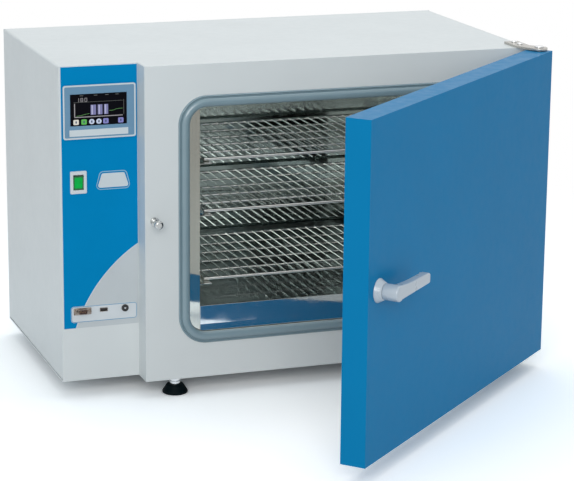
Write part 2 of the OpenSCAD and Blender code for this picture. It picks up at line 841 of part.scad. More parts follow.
module insulation_rear() color("khaki") difference() {
    back_y = liner_back + liner_t;
    block([ins_x0 + gap, back_y + gap, ins_low + gap], [ins_x1 - gap, in_back - gap, ins_top - gap]);
    rod_y(vent_x, vent_z, vent_r + vent_wall + gap, back_y, in_back);
    rod_y(probe_x, probe_z, probe_r + gland_wall + gap, back_y, liner_back + gland_end + 6);
    for (x = heater_legs)
        rod_y(x, heater_z, heater_r + collar_wall + gap, back_y, liner_back + heater_tail + 1);
}

// Electrics in the column
module control_board() color("darkgreen") {
    side = 4;
    below = 20;
    above = 10;
    board_t = 1.6;
    chips = 4;
    chip = [12, 6.4, 16];
    post_in = 2.5;
    x0 = scr_x0 - side;
    x1 = scr_x0 + screen_w + side;
    z0 = scr_z0 - below;
    z1 = scr_z0 + screen_h + above;
    back_y = glass_back + board_t;
    block([x0, glass_back, z0], [x1, back_y, z1]);
    for (k = [0:chips - 1]) translate([scr_x0 + chip[0] + k * 22, back_y - eps, scr_z0]) cube(chip);
    for (x = [x0 + post_in, x1 - post_in], z = [z0 + post_in, z1 - post_in])
        rod_y(x, z, post_in - fit, in_col, glass_back + eps);
}

module power_relay() color("dimgray") {
    fins = 7;
    fin_pitch = 13;
    fin_t = 3;
    fin_l = 11.5;
    base_t = 4;
    sink = [90, 80];
    relay = [24, 46, 44];
    y0 = in_col + 120;
    z0 = z_low + 300;
    x1 = x_step - fin_l;
    x0 = x1 - base_t;
    block([x0, y0, z0], [x1, y0 + sink[0], z0 + sink[1]]);
    for (n = [0:fins - 1])
        translate([x1 - eps, y0 + fin_t + n * fin_pitch, z0]) cube([fin_l + eps, fin_t, sink[1]]);
    translate([x0 - relay[0] + eps, y0 + (sink[0] - relay[1]) / 2, z0 + (sink[1] - relay[2]) / 2])
        cube(relay);
}

module transformer() color("slategray") {
    base = [64, 52, 4];
    core = [60, 28, 50];
    coil = [38, 50, 32];
    t_x = x_left + 70;
    t_y = in_col + 150;
    stacked(t_x, t_y, base, in_low);
    stacked(t_x, t_y, core, in_low + base[2] - eps);
    stacked(t_x, t_y, coil, in_low + base[2] + (core[2] - coil[2]) / 2);
}

// A block centred over x, y, with its underside at z
module stacked(x, y, size, z) translate([x - size[0] / 2, y - size[1] / 2, z]) cube(size);

module terminal_block() color("beige") {
    base = [60, 35, 3];
    body = [52, 23, 21];
    ways = 5;
    pitch = 10;
    b_x = x_left + 70;
    b_y = in_col + 267;
    stacked(b_x, b_y, base, in_low);
    top = in_low + base[2] + body[2];
    difference() {
        stacked(b_x, b_y, body, in_low + base[2] - eps);
        for (n = [0:ways - 1]) rod_z(b_x + (n - (ways - 1) / 2) * pitch, b_y, 2.2, top - pitch, top + cut);
    }
}

module mains_inlet() color("dimgray") difference() {
    socket = [24, 16, 15];
    flange_h = inlet_h / 2 + 4;
    union() {
        wall(y_back, y_back + inlet_t) round_rect(inlet_x - inlet_flange, inlet_z - flange_h,
            inlet_x + inlet_flange, inlet_z + flange_h, 3);
        wall(in_back - 26, y_back + eps) centred(inlet_x, inlet_z, inlet_w - 2 * fit, inlet_h - 2 * fit);
    }
    wall(y_back - socket[2], y_back + inlet_t + cut) centred(inlet_x, inlet_z, socket[0], socket[1]);
    for (s = [-1, 1])
        rod_y(inlet_x + s * inlet_screw, inlet_z, rear_screw_r + gap / 3, y_back, y_back + inlet_t + cut);
}

// Hinges
// A hinge plate's foot on the casing and its arm out to the hinge axis
module hinge_arm() {
    x0 = x_right - hinge_in - hinge_w;
    x1 = x_right - hinge_in;
    side = hinge_round * [cos(hinge_angle), sin(hinge_angle)];
    polygon([[x0, y_front + hinge_back], [x0, y_front], [axis_x, axis_y] - side,
        [axis_x, axis_y] + side, [x1, y_front], [x1, y_front + hinge_back]]);
}

module hinge_plate(a, b) color("silver") difference() {
    union() {
        slab(a, b) hinge_arm();
        rod_z(axis_x, axis_y, hinge_round, a, b);
    }
    rod_z(axis_x, axis_y, pin_r + 2 * eps, a - cut, b + cut);
    for (y = hinge_screws) rod_z(hinge_screw_x, y, screw_r, a - cut, b + cut);
}

module upper_hinge_plate() hinge_plate(z_top, z_top + hinge_t);

module lower_hinge_plate() hinge_plate(z_low - hinge_t, z_low);

module hinge_pins() color("gray") for (top = [0, 1]) mirror_low(top) {
    rod_z(axis_x, axis_y, pin_r, z_top - door_clear - pin_l, z_top + hinge_t + eps);
    rod_z(axis_x, axis_y, pin_r + 3, z_top + hinge_t, z_top + hinge_t + 3);
}

// Mirrors a piece of the upper hinge to the lower one, unless it is the top one
module mirror_low(top) {
    z_mid = (z_low + z_top) / 2;
    translate([0, 0, top ? 0 : 2 * z_mid]) mirror([0, 0, top ? 0 : 1]) children();
}

// Screws of the hinge plates, the rear panel and the mains inlet
module casing_screws() color("gray") {
    for (top = [0, 1], y = hinge_screws) mirror_low(top) {
        rod_z(hinge_screw_x, y, screw_head_r, z_top + hinge_t, z_top + hinge_t + screw_head_h);
        rod_z(hinge_screw_x, y, screw_r - gap / 3, in_top, z_top + hinge_t + eps);
    }
    for (p = rear_screws) {
        rod_y(p[0], p[1], 2.5 * rear_screw_r, y_back, y_back + 2.2);
        rod_y(p[0], p[1], rear_screw_r, in_back, y_back + eps);
    }
    for (s = [-1, 1]) {
        rod_y(inlet_x + s * inlet_screw, inlet_z, 2 * rear_screw_r, y_back + inlet_t, y_back + inlet_t + 1.8);
        rod_y(inlet_x + s * inlet_screw, inlet_z, rear_screw_r, y_back, y_back + inlet_t + eps);
    }
}

// Feet
module foot(f) color([0.12, 0.12, 0.12]) translate([f[0], f[1], 0]) {
    cap_z = pad_h + cap_h;
    cylinder(h = pad_h, r1 = foot_r, r2 = foot_r - pad_in);
    translate([0, 0, pad_h - eps]) cylinder(h = cap_h, r = foot_r - pad_in);
    translate([0, 0, cap_z - eps]) cylinder(h = foot_h - cap_z - gap + eps, r = nut_r, $fn = 6);
    translate([0, 0, cap_z]) cylinder(h = foot_h - cap_z + stud_in, r = stud_r);
}

module foot_front_left() foot(feet[0]);

module foot_front_right() foot(feet[1]);

module foot_rear_left() foot(feet[2]);

module foot_rear_right() foot(feet[3]);

// Door, drawn closed
module door_outline(g) rect(d_x0 + g, d_z0 + g, d_x1 - g, d_z1 - g);

module panel_hole(g) door_outline(door_border - g);

module door_shell() color([0.15, 0.42, 0.62]) at_rest() difference() {
    wall(d_y0, d_y1) door_outline(0);
    wall(d_y0 + sheet, d_y1 - sheet) door_outline(sheet);
    wall(d_y1 - sheet - cut, d_y1 + cut) panel_hole(0);
    wall(d_y1 - sheet - cut, d_y1 + cut) pocket_outline(-pocket_wall);
    rod_y(sp_x, sp_z, spindle_r + 1, d_y0 - cut, d_y0 + sheet + cut);
    for (z = [d_z0, d_z1]) rod_z(axis_x, axis_y, bush_r + 2 * eps, z - sheet - cut, z + sheet + cut);
}

module door_inner_panel() color("silver") at_rest() difference() {
    lip_y = d_y1 - sheet - liner_t;
    field_y = d_y1 + panel_proud;
    union() {
        wall(lip_y, d_y1 - sheet) panel_hole(panel_lip);
        wall(d_y1 - sheet - eps, d_y1) panel_hole(-panel_edge);
        wall(d_y1 - eps, field_y) door_plug(0);
    }
    wall(lip_y - cut, d_y1 - liner_t) panel_hole(-panel_edge - liner_t);
    wall(d_y1 - liner_t - cut, field_y - liner_t) door_plug(-liner_t);
}

// The raised field that faces the chamber
module door_plug(g) round_rect(o_x0 + plug_in - g, o_z0 + plug_in - g,
    o_x1 - plug_in + g, o_z1 - plug_in + g, plug_r + g);

module pocket_outline(g) rect(pocket_x0 - g, sp_z - pocket_half - g, pocket_x1 + g, sp_z + pocket_half + g);

module latch_pocket() color("gray") at_rest() difference() {
    back_y = d_y1 - pocket_d;
    wall(back_y, d_y1 - sheet) pocket_outline(0);
    wall(back_y + pocket_wall, d_y1) pocket_outline(-pocket_wall);
    rod_y(sp_x, sp_z, spindle_r + gap / 3, back_y - cut, back_y + pocket_wall + cut);
}

module door_insulation() color("khaki") at_rest() difference() {
    wall(d_y0 + sheet + gap, d_y1 - sheet - liner_t - gap) door_outline(sheet + gap);
    wall(d_y1 - pocket_d - gap, d_y1) pocket_outline(gap);
    rod_y(sp_x, sp_z, spindle_r + 2, d_y0, d_y1);
    pit = pin_l + 2 * bush_end;
    for (z = [d_z0, d_z1]) rod_z(axis_x, axis_y, bush_r + bush_seat, z - pit, z + pit);
}

module hinge_bushes() color("goldenrod") at_rest() for (top = [0, 1]) {
    translate([axis_x, axis_y, top ? d_z1 : d_z0]) mirror([0, 0, top]) difference() {
        union() {
            cylinder(h = pin_l + bush_end, r = bush_r);
            translate([0, 0, sheet]) cylinder(h = bush_seat, r = bush_r + bush_flange);
        }
        translate([0, 0, -cut]) cylinder(h = pin_l + 3 * cut, r = pin_r + pin_clear);
    }
}

// Handle
module handle_escutcheon() color("gainsboro") at_rest() difference() {
    translate([sp_x, d_y0, sp_z]) rotate([90, 0, 0])
        cylinder(h = escutcheon_h, r1 = escutcheon_r, r2 = grip_r + 0.5);
    rod_y(sp_x, sp_z, spindle_r + pin_clear, d_y0 - escutcheon_h - cut, d_y0 + cut);
}

// The bar's outline seen from the front, from the spindle towards the hinges
module grip_outline() {
    shoulder = [grip_r * cos(60), grip_r * sin(60)];
    corner = 4;
    circle(grip_r);
    for (s = [-1, 1]) polygon([[0, 0], [0, s * grip_r], [shoulder[0], s * shoulder[1]],
        [grip_l - corner, s * grip_tip], [grip_l, s * (grip_tip - corner)], [grip_l, 0]]);
}

module handle_lever() color("gainsboro") at_rest() {
    root = d_y0 - escutcheon_h - gap;
    tip = d_y0 - grip_out;
    bar_y = tip + grip_t - eps;
    lip = 5;
    rod_y(sp_x, sp_z, grip_r, bar_y, root);
    wall(tip, tip + grip_t) translate([sp_x, sp_z]) grip_outline();
    wall(bar_y, bar_y + lip + cut) centred(sp_x + grip_l - lip, sp_z, lip, 2 * grip_tip - 2);
    rod_y(sp_x, sp_z, spindle_r, root - eps, claw_y);
}

// A wedge from angle a to angle b, as wide as far, cut into steps of 60 degrees or less
module wedge(a, b, far) {
    steps = ceil((b - a) / 60);
    polygon(concat([[0, 0]], [for (k = [0:steps]) let (t = a + (b - a) * k / steps) far * [cos(t), sin(t)]]));
}

// A ring between two radii
module ring(r0, r1) difference() {
    circle(r1);
    circle(r0);
}

// A claw with an open curved slot that passes behind the keeper's head
module claw_outline() {
    outer = latch_reach + slot_half + claw_rim;
    inner = latch_reach - slot_half - claw_rim;
    start = latch_angle + claw_lead;
    intersection() {
        difference() {
            ring(inner, outer);
            intersection() {
                ring(latch_reach - slot_half, latch_reach + slot_half);
                wedge(start - 1, start + claw_span - claw_web, 2 * outer);
            }
        }
        wedge(start, start + claw_span, 2 * outer);
    }
    circle(inner + 0.5);
}

module latch_claw() color("gray") at_rest() {
    wall(claw_y, claw_y + claw_t) translate([sp_x, sp_z]) claw_outline();
}

casing_wrap();
base_pan();
rear_panel();
column_front();
chamber_front();
column_bulkhead();
label_blue();
label_grey();
display_frame();
display_screen();
name_strip();
badge_plate();
switch_bezel();
power_rocker();
port_plate();
serial_socket();
usb_socket();
probe_jack();
latch_keeper();
door_gasket();
chamber_liner();
side_guide_left();
side_guide_right();
floor_cover();
shelf_rails_left();
shelf_rails_right();
shelf_top();
shelf_middle();
shelf_bottom();
heating_elements();
temperature_probe();
vent_tube();
vent_plate();
vent_damper();
insulation_top();
insulation_bottom();
insulation_left();
insulation_right();
insulation_rear();
control_board();
power_relay();
transformer();
terminal_block();
mains_inlet();
upper_hinge_plate();
lower_hinge_plate();
hinge_pins();
casing_screws();
foot_front_left();
foot_front_right();
foot_rear_left();
foot_rear_right();
door_shell();
door_insulation();
door_inner_panel();
latch_pocket();
hinge_bushes();
handle_escutcheon();
handle_lever();
latch_claw();
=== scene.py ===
"""Dry heat sterilizer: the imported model's looks, in metres and in the model's own frame."""

import json
import math

import bmesh
import bpy
from mathutils import Matrix, Vector
from mathutils.bvhtree import BVHTree


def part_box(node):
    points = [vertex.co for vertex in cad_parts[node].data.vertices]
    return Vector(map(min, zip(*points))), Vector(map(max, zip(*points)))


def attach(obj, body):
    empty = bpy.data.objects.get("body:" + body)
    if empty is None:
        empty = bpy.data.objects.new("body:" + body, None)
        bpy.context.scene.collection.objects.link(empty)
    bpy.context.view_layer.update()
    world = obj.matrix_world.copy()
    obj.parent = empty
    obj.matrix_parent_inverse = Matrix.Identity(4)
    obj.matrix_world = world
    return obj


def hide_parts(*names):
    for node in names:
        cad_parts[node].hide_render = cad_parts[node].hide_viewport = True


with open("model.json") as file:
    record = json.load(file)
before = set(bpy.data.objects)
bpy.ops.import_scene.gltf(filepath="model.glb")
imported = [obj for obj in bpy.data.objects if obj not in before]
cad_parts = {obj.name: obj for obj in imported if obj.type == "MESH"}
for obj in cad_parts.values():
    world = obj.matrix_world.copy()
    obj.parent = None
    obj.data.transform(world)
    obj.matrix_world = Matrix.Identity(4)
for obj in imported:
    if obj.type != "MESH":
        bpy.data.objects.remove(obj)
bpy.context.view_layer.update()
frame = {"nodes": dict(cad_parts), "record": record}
nodes = frame["nodes"]

MM = 0.001
scene = bpy.context.scene
scene.view_settings.view_transform = "Standard"


# Camera, solved from the photograph's edges
IMAGE = (574, 481)
FOCAL_PX = 2255.0
SENSOR = 36.0
CAMERA_AT = Vector((-1.082, -3.592, 1.233))
YAW = math.radians(19.71)
PITCH = math.radians(14.35)
ROLL = math.radians(0.57)


def make_camera():
    ahead = Vector((math.sin(YAW), math.cos(YAW), 0))
    right = Vector((math.cos(YAW), -math.sin(YAW), 0))
    look = ahead * math.cos(PITCH) - Vector((0, 0, math.sin(PITCH)))
    up = ahead * math.sin(PITCH) + Vector((0, 0, math.cos(PITCH)))
    right, up = (
        right * math.cos(ROLL) + up * math.sin(ROLL),
        up * math.cos(ROLL) - right * math.sin(ROLL),
    )
    data = bpy.data.cameras.new("camera")
    data.sensor_width = SENSOR
    data.sensor_fit = "HORIZONTAL"
    data.lens = FOCAL_PX / IMAGE[0] * SENSOR
    camera = bpy.data.objects.new("camera", data)
    turn = Matrix((right, up, -look)).transposed()
    camera.matrix_world = Matrix.Translation(CAMERA_AT) @ turn.to_4x4()
    scene.collection.objects.link(camera)
    scene.camera = camera


# Light
AMBIENT = (0.53, 0.585, 0.62)
BACKGROUND = (1.0, 1.0, 1.0)
LIGHT_TARGET = (0.25, 0.15, 0.3)
LIGHT_COLOUR = (1.0, 0.97, 0.94)
# Name: place, size, watts
LAMPS = {
    "key_light": ((-1.25, -3.42, 1.75), (2.4, 1.8), 63),
    "top_light": ((0.6, 0.6, 3.2), (2.6, 2.0), 26),
}


def maximum(tree, first, second):
    node = tree.nodes.new("ShaderNodeMath")
    node.operation = "MAXIMUM"
    tree.links.new(first, node.inputs[0])
    tree.links.new(second, node.inputs[1])
    return node.outputs[0]


def seen_directly(tree):
    """1 for camera, glossy and transmission rays, 0 for the rays that carry diffuse light."""
    path = tree.nodes.new("ShaderNodeLightPath")
    either = maximum(tree, path.outputs["Is Camera Ray"], path.outputs["Is Glossy Ray"])
    return maximum(tree, either, path.outputs["Is Transmission Ray"])


def make_world():
    world = bpy.data.worlds.new("studio")
    scene.world = world
    world.use_nodes = True
    tree = world.node_tree
    tree.nodes.clear()
    fill = tree.nodes.new("ShaderNodeBackground")
    fill.inputs["Color"].default_value = (*AMBIENT, 1)
    white = tree.nodes.new("ShaderNodeBackground")
    white.inputs["Color"].default_value = (*BACKGROUND, 1)
    mix = tree.nodes.new("ShaderNodeMixShader")
    out = tree.nodes.new("ShaderNodeOutputWorld")
    tree.links.new(seen_directly(tree), mix.inputs[0])
    tree.links.new(fill.outputs[0], mix.inputs[1])
    tree.links.new(white.outputs[0], mix.inputs[2])
    tree.links.new(mix.outputs[0], out.inputs[0])


def make_lights():
    for name, (place, size, watts) in LAMPS.items():
        data = bpy.data.lights.new(name, "AREA")
        data.shape = "RECTANGLE"
        data.size, data.size_y = size
        data.energy = watts
        data.color = LIGHT_COLOUR
        lamp = bpy.data.objects.new(name, data)
        lamp.location = place
        lamp.rotation_mode = "QUATERNION"
        aim = Vector(LIGHT_TARGET) - Vector(place)
        lamp.rotation_quaternion = aim.to_track_quat("-Z", "Y")
        scene.collection.objects.link(lamp)


# Mesh helpers
def new_object(name, bm, smooth_angle=None):
    mesh = bpy.data.meshes.new(name)
    bmesh.ops.recalc_face_normals(bm, faces=bm.faces)
    if smooth_angle is not None:
        for face in bm.faces:
            face.smooth = len(face.verts) <= 4
        limit = math.radians(smooth_angle)
        for edge in bm.edges:
            edge.smooth = len(edge.link_faces) == 2 and edge.calc_face_angle(0) < limit
    bm.to_mesh(mesh)
    bm.free()
    obj = bpy.data.objects.new(name, mesh)
    scene.collection.objects.link(obj)
    return obj


def place(obj, body, slot, look):
    obj.data.materials.append(look)
    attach(obj, body)
    return obj


def middle_of(low, high):
    """The centre of a box in X and Z."""
    return (low.x + high.x) / 2, (low.z + high.z) / 2


def grid_faces(bm, rows, closed_rows, closed_cols):
    """Quads between rows of vertices."""
    row_count = len(rows) if closed_rows else len(rows) - 1
    col_count = len(rows[0]) if closed_cols else len(rows[0]) - 1
    for i in range(row_count):
        a, b = rows[i], rows[(i + 1) % len(rows)]
        for j in range(col_count):
            k = (j + 1) % len(a)
            bm.faces.new((a[j], a[k], b[k], b[j]))


def lathe(profile, origin, axis, steps=64):
    """A closed turned shape: profile is (radius, distance along axis) from one end to the other."""
    axis = Vector(axis).normalized()
    side = axis.orthogonal().normalized()
    other = axis.cross(side)
    bm = bmesh.new()
    rows = []
    for n in range(steps):
        turn = 2 * math.pi * n / steps
        out = side * math.cos(turn) + other * math.sin(turn)
        rows.append([bm.verts.new(Vector(origin) + out * r + axis * d) for r, d in profile])
    grid_faces(bm, rows, True, False)
    for end in (0, -1):
        bm.faces.new([row[end] for row in rows])
    return bm


def round_rect(x0, z0, x1, z1, r, steps=12):
    """Points round a rectangle with round corners, from its lower right corner."""
    corners = (
        (x1 - r, z0 + r, -90), (x1 - r, z1 - r, 0), (x0 + r, z1 - r, 90), (x0 + r, z0 + r, 180),
    )
    points = []
    for cx, cz, start in corners:
        for n in range(steps + 1):
            angle = math.radians(start + 90 * n / steps)
            points.append((cx + r * math.cos(angle), cz + r * math.sin(angle)))
    return points


def inset_rect(low, high, inset, r, steps=12):
    """Points round a node's box in X and Z, moved inwards by inset."""
    return round_rect(low.x + inset, low.z + inset, high.x - inset, high.z - inset, r, steps)


def box_round(x, z, half, r, steps):
    """Points round a rectangle with its middle at x, z and its half width and height in half."""
    return round_rect(x - half[0], z - half[1], x + half[0], z + half[1], r, steps)


def rounded(corners, r, steps=6):
    """Points round an anticlockwise outline with its corners rounded."""
    points = []
    count = len(corners)
    for n, corner in enumerate(corners):
        p = Vector(corner)
        a = (Vector(corners[n - 1]) - p).normalized()
        b = (Vector(corners[(n + 1) % count]) - p).normalized()
        half = a.angle(b) / 2
        centre = p + (a + b).normalized() * (r / math.sin(half))
        start = p + a * (r / math.tan(half)) - centre
        for k in range(steps + 1):
            turn = Matrix.Rotation((math.pi - 2 * half) * k / steps, 2)
            points.append(tuple(centre + turn @ start))
    return points


def evenly_spaced(points, count):
    """The same closed outline with count points, evenly spaced along it."""
    lengths = [0.0]
    loop = points + points[:1]
    for a, b in zip(loop, loop[1:]):
        lengths.append(lengths[-1] + math.dist(a, b))
    result = []
    for n in range(count):
        s = lengths[-1] * n / count
        k = next(i for i in range(len(points)) if lengths[i + 1] >= s)
        t = (s - lengths[k]) / (lengths[k + 1] - lengths[k])
        result.append(tuple(Vector(loop[k]).lerp(Vector(loop[k + 1]), t)))
    return result


def extruded(bm, outline, y0, y1):
    """A plate with an outline in X and Z, from y0 to y1."""
    front = [bm.verts.new((x, y0, z)) for x, z in outline]
    back = [bm.verts.new((x, y1, z)) for x, z in outline]
    bm.faces.new(front)
    bm.faces.new(back[::-1])
    grid_faces(bm, [front, back], False, True)


def band(bm, outer, inner, y0, y1, closed=True):
    """A flat band between two outlines in X and Z, from y0 to y1."""
    loops = [
        [bm.verts.new((x, y, z)) for x, z in line]
        for line, y in ((outer, y0), (inner, y0), (inner, y1), (outer, y1))
    ]
    grid_faces(bm, loops, True, closed)
    if not closed:
        for end in (0, -1):
            bm.faces.new([line[end] for line in loops])


def round_edges(obj, width, segments=3, angle=35):
    """Rounds the edges that are sharper than angle."""
    bevel = obj.modifiers.new("bevel", "BEVEL")
    bevel.width = width
    bevel.segments = segments
    bevel.limit_method = "ANGLE"
    bevel.angle_limit = math.radians(angle)
    bevel.use_clamp_overlap = True
    bevel.harden_normals = True


WELD_DISTANCE = 2e-6
FLAT_ANGLE = 0.4
NODE_EDGE_ANGLE = 32


def soften(name, width):
    """Joins a CAD node's flat facets and rounds its edges."""
    node = nodes[name]
    weld = node.modifiers.new("weld", "WELD")
    weld.merge_threshold = WELD_DISTANCE
    flat = node.modifiers.new("flat", "DECIMATE")
    flat.decimate_type = "DISSOLVE"
    flat.angle_limit = math.radians(FLAT_ANGLE)
    round_edges(node, width, angle=NODE_EDGE_ANGLE)


# Materials. Noise scales are in cycles per metre.
class Look:
    """A material with a Principled shader and the texture nodes that feed it."""

    def __init__(self, name, colour, rough, metal=0.0, **sockets):
        self.material = bpy.data.materials.new(name)
        self.material.use_nodes = True
        self.tree = self.material.node_tree
        self.shader = self.tree.nodes["Principled BSDF"]
        self.colour = colour
        self.shader.inputs["Base Color"].default_value = (*colour, 1)
        self.shader.inputs["Roughness"].default_value = rough
        self.shader.inputs["Metallic"].default_value = metal
        for socket, value in sockets.items():
            self.shader.inputs[socket.replace("_", " ")].default_value = value
        self.texture = self.tree.nodes.new("ShaderNodeTexCoord")
        self.coords = self.texture.outputs["Object"]

    def node(self, kind, **values):
        node = self.tree.nodes.new(kind)
        for key, value in values.items():
            setattr(node, key, value)
        return node

    def link(self, a, b):
        self.tree.links.new(a, b)

    def maths(self, operation, *values):
        """A math node, fed by numbers or by other nodes."""
        node = self.node("ShaderNodeMath", operation=operation)
        for socket, value in zip(node.inputs, values):
            if isinstance(value, (int, float)):
                socket.default_value = value
            else:
                self.link(value, socket)
        return node.outputs[0]

    def height_of(self, vector):
        """The Z part of a vector."""
        split = self.node("ShaderNodeSeparateXYZ")
        self.link(vector, split.inputs[0])
        return split.outputs["Z"]

    def noise(self, scale, detail=3.0, stretch=(1, 1, 1)):
        """Noise whose grain is 1 / scale metres, stretched by axis."""
        mapping = self.node("ShaderNodeMapping")
        mapping.inputs["Scale"].default_value = stretch
        noise = self.node("ShaderNodeTexNoise")
        noise.inputs["Scale"].default_value = scale
        noise.inputs["Detail"].default_value = detail
        self.link(self.coords, mapping.inputs["Vector"])
        self.link(mapping.outputs["Vector"], noise.inputs["Vector"])
        return noise.outputs["Fac"]

    def span(self, value, low, high, start=0.3, end=0.7):
        """Maps a texture value from start to end onto low to high."""
        ranged = self.node("ShaderNodeMapRange")
        sockets = ("From Min", "From Max", "To Min", "To Max")
        for socket, number in zip(sockets, (start, end, low, high)):
            ranged.inputs[socket].default_value = number
        self.link(value, ranged.inputs["Value"])
        return ranged.outputs["Result"]

    def tint(self, value, amount):
        """Varies the colour with a texture value, towards a darker shade."""
        mix = self.node("ShaderNodeMix", data_type="RGBA")
        mix.inputs["A"].default_value = (*(c * (1 - amount) for c in self.colour), 1)
        mix.inputs["B"].default_value = (*self.colour, 1)
        self.link(self.span(value, 0, 1), mix.inputs["Factor"])
        self.link(mix.outputs["Result"], self.shader.inputs["Base Color"])
        return mix

    def rough(self, value, low, high):
        self.link(self.span(value, low, high), self.shader.inputs["Roughness"])

    def bump(self, value, depth, strength=1.0):
        bump = self.node("ShaderNodeBump")
        bump.inputs["Distance"].default_value = depth
        bump.inputs["Strength"].default_value = strength
        self.link(value, bump.inputs["Height"])
        last = self.shader.inputs["Normal"]
        if last.links:
            self.link(last.links[0].from_socket, bump.inputs["Normal"])
        self.link(bump.outputs["Normal"], last)


def paint(name, colour, rough=0.36, gloss=0.3, peel=0.00002):
    """Powder coat: orange peel of about 2 mm, faint clouds in the colour."""
    look = Look(name, colour, rough, Specular_IOR_Level=gloss)
    look.tint(look.noise(9, 2), 0.03)
    look.rough(look.noise(60, 2), rough - 0.04, rough + 0.05)
    look.bump(look.noise(520, 1), peel)
    return look.material


def film(name, colour, rough=0.42, gloss=0.2):
    """Printed polyester film with a fine matt grain."""
    look = Look(name, colour, rough, Specular_IOR_Level=gloss)
    look.tint(look.noise(14, 3), 0.04)
    look.bump(look.noise(2600, 2), 0.00001)
    return look.material


def plastic(name, colour, rough=0.4, grain=1500, depth=0.00004):
    """Moulded plastic with a spark-eroded grain."""
    look = Look(name, colour, rough)
    look.tint(look.noise(25, 3), 0.05)
    look.rough(look.noise(300, 2), rough - 0.05, rough + 0.08)
    look.bump(look.noise(grain, 2), depth)
    return look.material


def lacquer(name, colour):
    """Cast metal under smooth silver-grey lacquer."""
    look = Look(name, colour, 0.3, Specular_IOR_Level=0.9, Coat_Weight=0.3, Coat_Roughness=0.1)
    look.tint(look.noise(12, 2), 0.03)
    look.rough(look.noise(40, 2), 0.27, 0.33)
    look.bump(look.noise(150, 1), 0.00001)
    return look.material


# Grain of brushed metal along one axis, and of polishing, which runs upwards
ALONG_Y = (900, 6, 900)
ALONG_X = (6, 900, 900)
POLISHING = (300, 300, 3)
SMEARS = (40, 4)
SHEET_WAVES = (7, 2)


def brushed(name, colour, rough, stretch):
    """Brushed metal: grain stretched along the brushing, slow waves in the surface."""
    look = Look(name, colour, rough, 1.0)
    grain = look.noise(1, 4, stretch)
    look.tint(grain, 0.12)
    coarse = tuple(s * 0.37 for s in stretch)
    look.rough(look.noise(1, 3, coarse), rough * 0.75, rough * 1.35)
    look.bump(grain, 0.00002)
    look.bump(look.noise(5, 1), 0.0012, 0.35)
    return look.material


def polished(name, colour, rough, wave):
    """Mirror-polished sheet: slow waves in the surface, faint streaks along the polishing."""
    look = Look(name, colour, rough, 1.0)
    look.tint(look.noise(1, 3, POLISHING), 0.1)
    look.rough(look.noise(*SMEARS), rough * 0.6, rough * 2.2)
    look.bump(look.noise(*SHEET_WAVES), wave)
    return look.material


def guide_sheet(name, colour):
    """Polished sheet with the slight haze of handling."""
    look = Look(name, colour, 0.035, 1.0, Coat_Weight=0.9, Coat_Roughness=0.4)
    look.tint(look.noise(1, 3, POLISHING), 0.08)
    look.rough(look.noise(*SMEARS), 0.022, 0.07)
    look.bump(look.noise(*SHEET_WAVES), 0.0004)
    return look.material


LINER_HAZE_Z = (0.39, 0.44)
LINER_ROUGH = (0.05, 0.22)


def liner_sheet(name, colour):
    """Polished sheet that heat has hazed towards the top of the chamber."""
    look = Look(name, colour, LINER_ROUGH[0], 1.0)
    look.tint(look.noise(1, 3, POLISHING), 0.1)
    haze = look.span(look.height_of(look.coords), *LINER_ROUGH, *LINER_HAZE_Z)
    smears = look.span(look.noise(*SMEARS), 0.8, 1.4)
    look.link(look.maths("MULTIPLY", haze, smears), look.shader.inputs["Roughness"])
    look.bump(look.noise(*SHEET_WAVES), 0.0002)
    return look.material


# Slopes of the floor cover's front: it leans back, and rolls forward below SILL_ROLL_Z
SILL_LEAN = 0.037
SILL_ROLL = -0.035
SILL_ROLL_Z = 0.124
# FLAT_TOP: how far a face points up before it takes the floor cover's painted dark reflection
FLAT_TOP = (0.4, 0.9)


def sill_shape(look):
    """A height map of the sill's lean and roll, to be scaled by SILL_LEAN."""
    height = look.height_of(look.coords)
    rolled = look.maths("MAXIMUM", look.maths("SUBTRACT", SILL_ROLL_Z, height), 0)
    lean = look.maths("SUBTRACT", 0, height)
    return look.maths("MULTIPLY_ADD", rolled, -SILL_ROLL / SILL_LEAN, lean)


def shaded_floor_sheet(name, front, top):
    """The floor cover: a painted dark reflection on its upward faces, and a front sill brightened
    as a painted reflection, polished and leaning back.
    """
    look = Look(name, front, 0.045, 1.0, Coat_Weight=0.9, Coat_Roughness=0.4)
    streaks = look.tint(look.noise(1, 3, POLISHING), 0.08)
    # Upward faces take the top colour, a painted dark reflection
    both = look.node("ShaderNodeMix", data_type="RGBA")
    both.inputs["B"].default_value = (*top, 1)
    look.link(streaks.outputs["Result"], both.inputs["A"])
    upward = look.height_of(look.texture.outputs["Normal"])
    look.link(look.span(upward, 0, 1, *FLAT_TOP), both.inputs["Factor"])
    look.link(both.outputs["Result"], look.shader.inputs["Base Color"])
    look.rough(look.noise(*SMEARS), 0.03, 0.09)
    look.bump(sill_shape(look), SILL_LEAN)
    look.bump(look.noise(*SHEET_WAVES), 0.0006)
    return look.material


def plated(name, colour, rough=0.08):
    """Bright plating with fine polishing marks."""
    look = Look(name, colour, rough, 1.0)
    look.tint(look.noise(120, 3), 0.08)
    look.rough(look.noise(700, 3), rough * 0.7, rough * 1.8)
    look.bump(look.noise(400, 2), 0.00001)
    return look.material


def rubber(name, colour, rough, gloss):
    """Moulded rubber with a fine grain."""
    look = Look(name, colour, rough, Specular_IOR_Level=gloss)
    look.tint(look.noise(30, 2), 0.04)
    look.rough(look.noise(60, 2), rough - 0.02, rough + 0.03)
    look.bump(look.noise(1500, 1), 0.000006)
    return look.material


def wool(name, colour):
    """Mineral wool: fibres of about 0.3 mm."""
    look = Look(name, colour, 0.95, Sheen_Weight=0.3)
    look.tint(look.noise(220, 5, (1, 1, 3)), 0.35)
    look.bump(look.noise(1500, 4, (1, 0.3, 1)), 0.0006)
    return look.material


def glowing(name, colour, strength):
    """A lit part of the display, dark where it isn't lit."""
    look = Look(name, tuple(c * 0.4 for c in colour), 0.3)
    look.shader.inputs["Emission Color"].default_value = (*colour, 1)
    look.shader.inputs["Emission Strength"].default_value = strength
    look.tint(look.noise(3000, 1), 0.2)
    return look.material


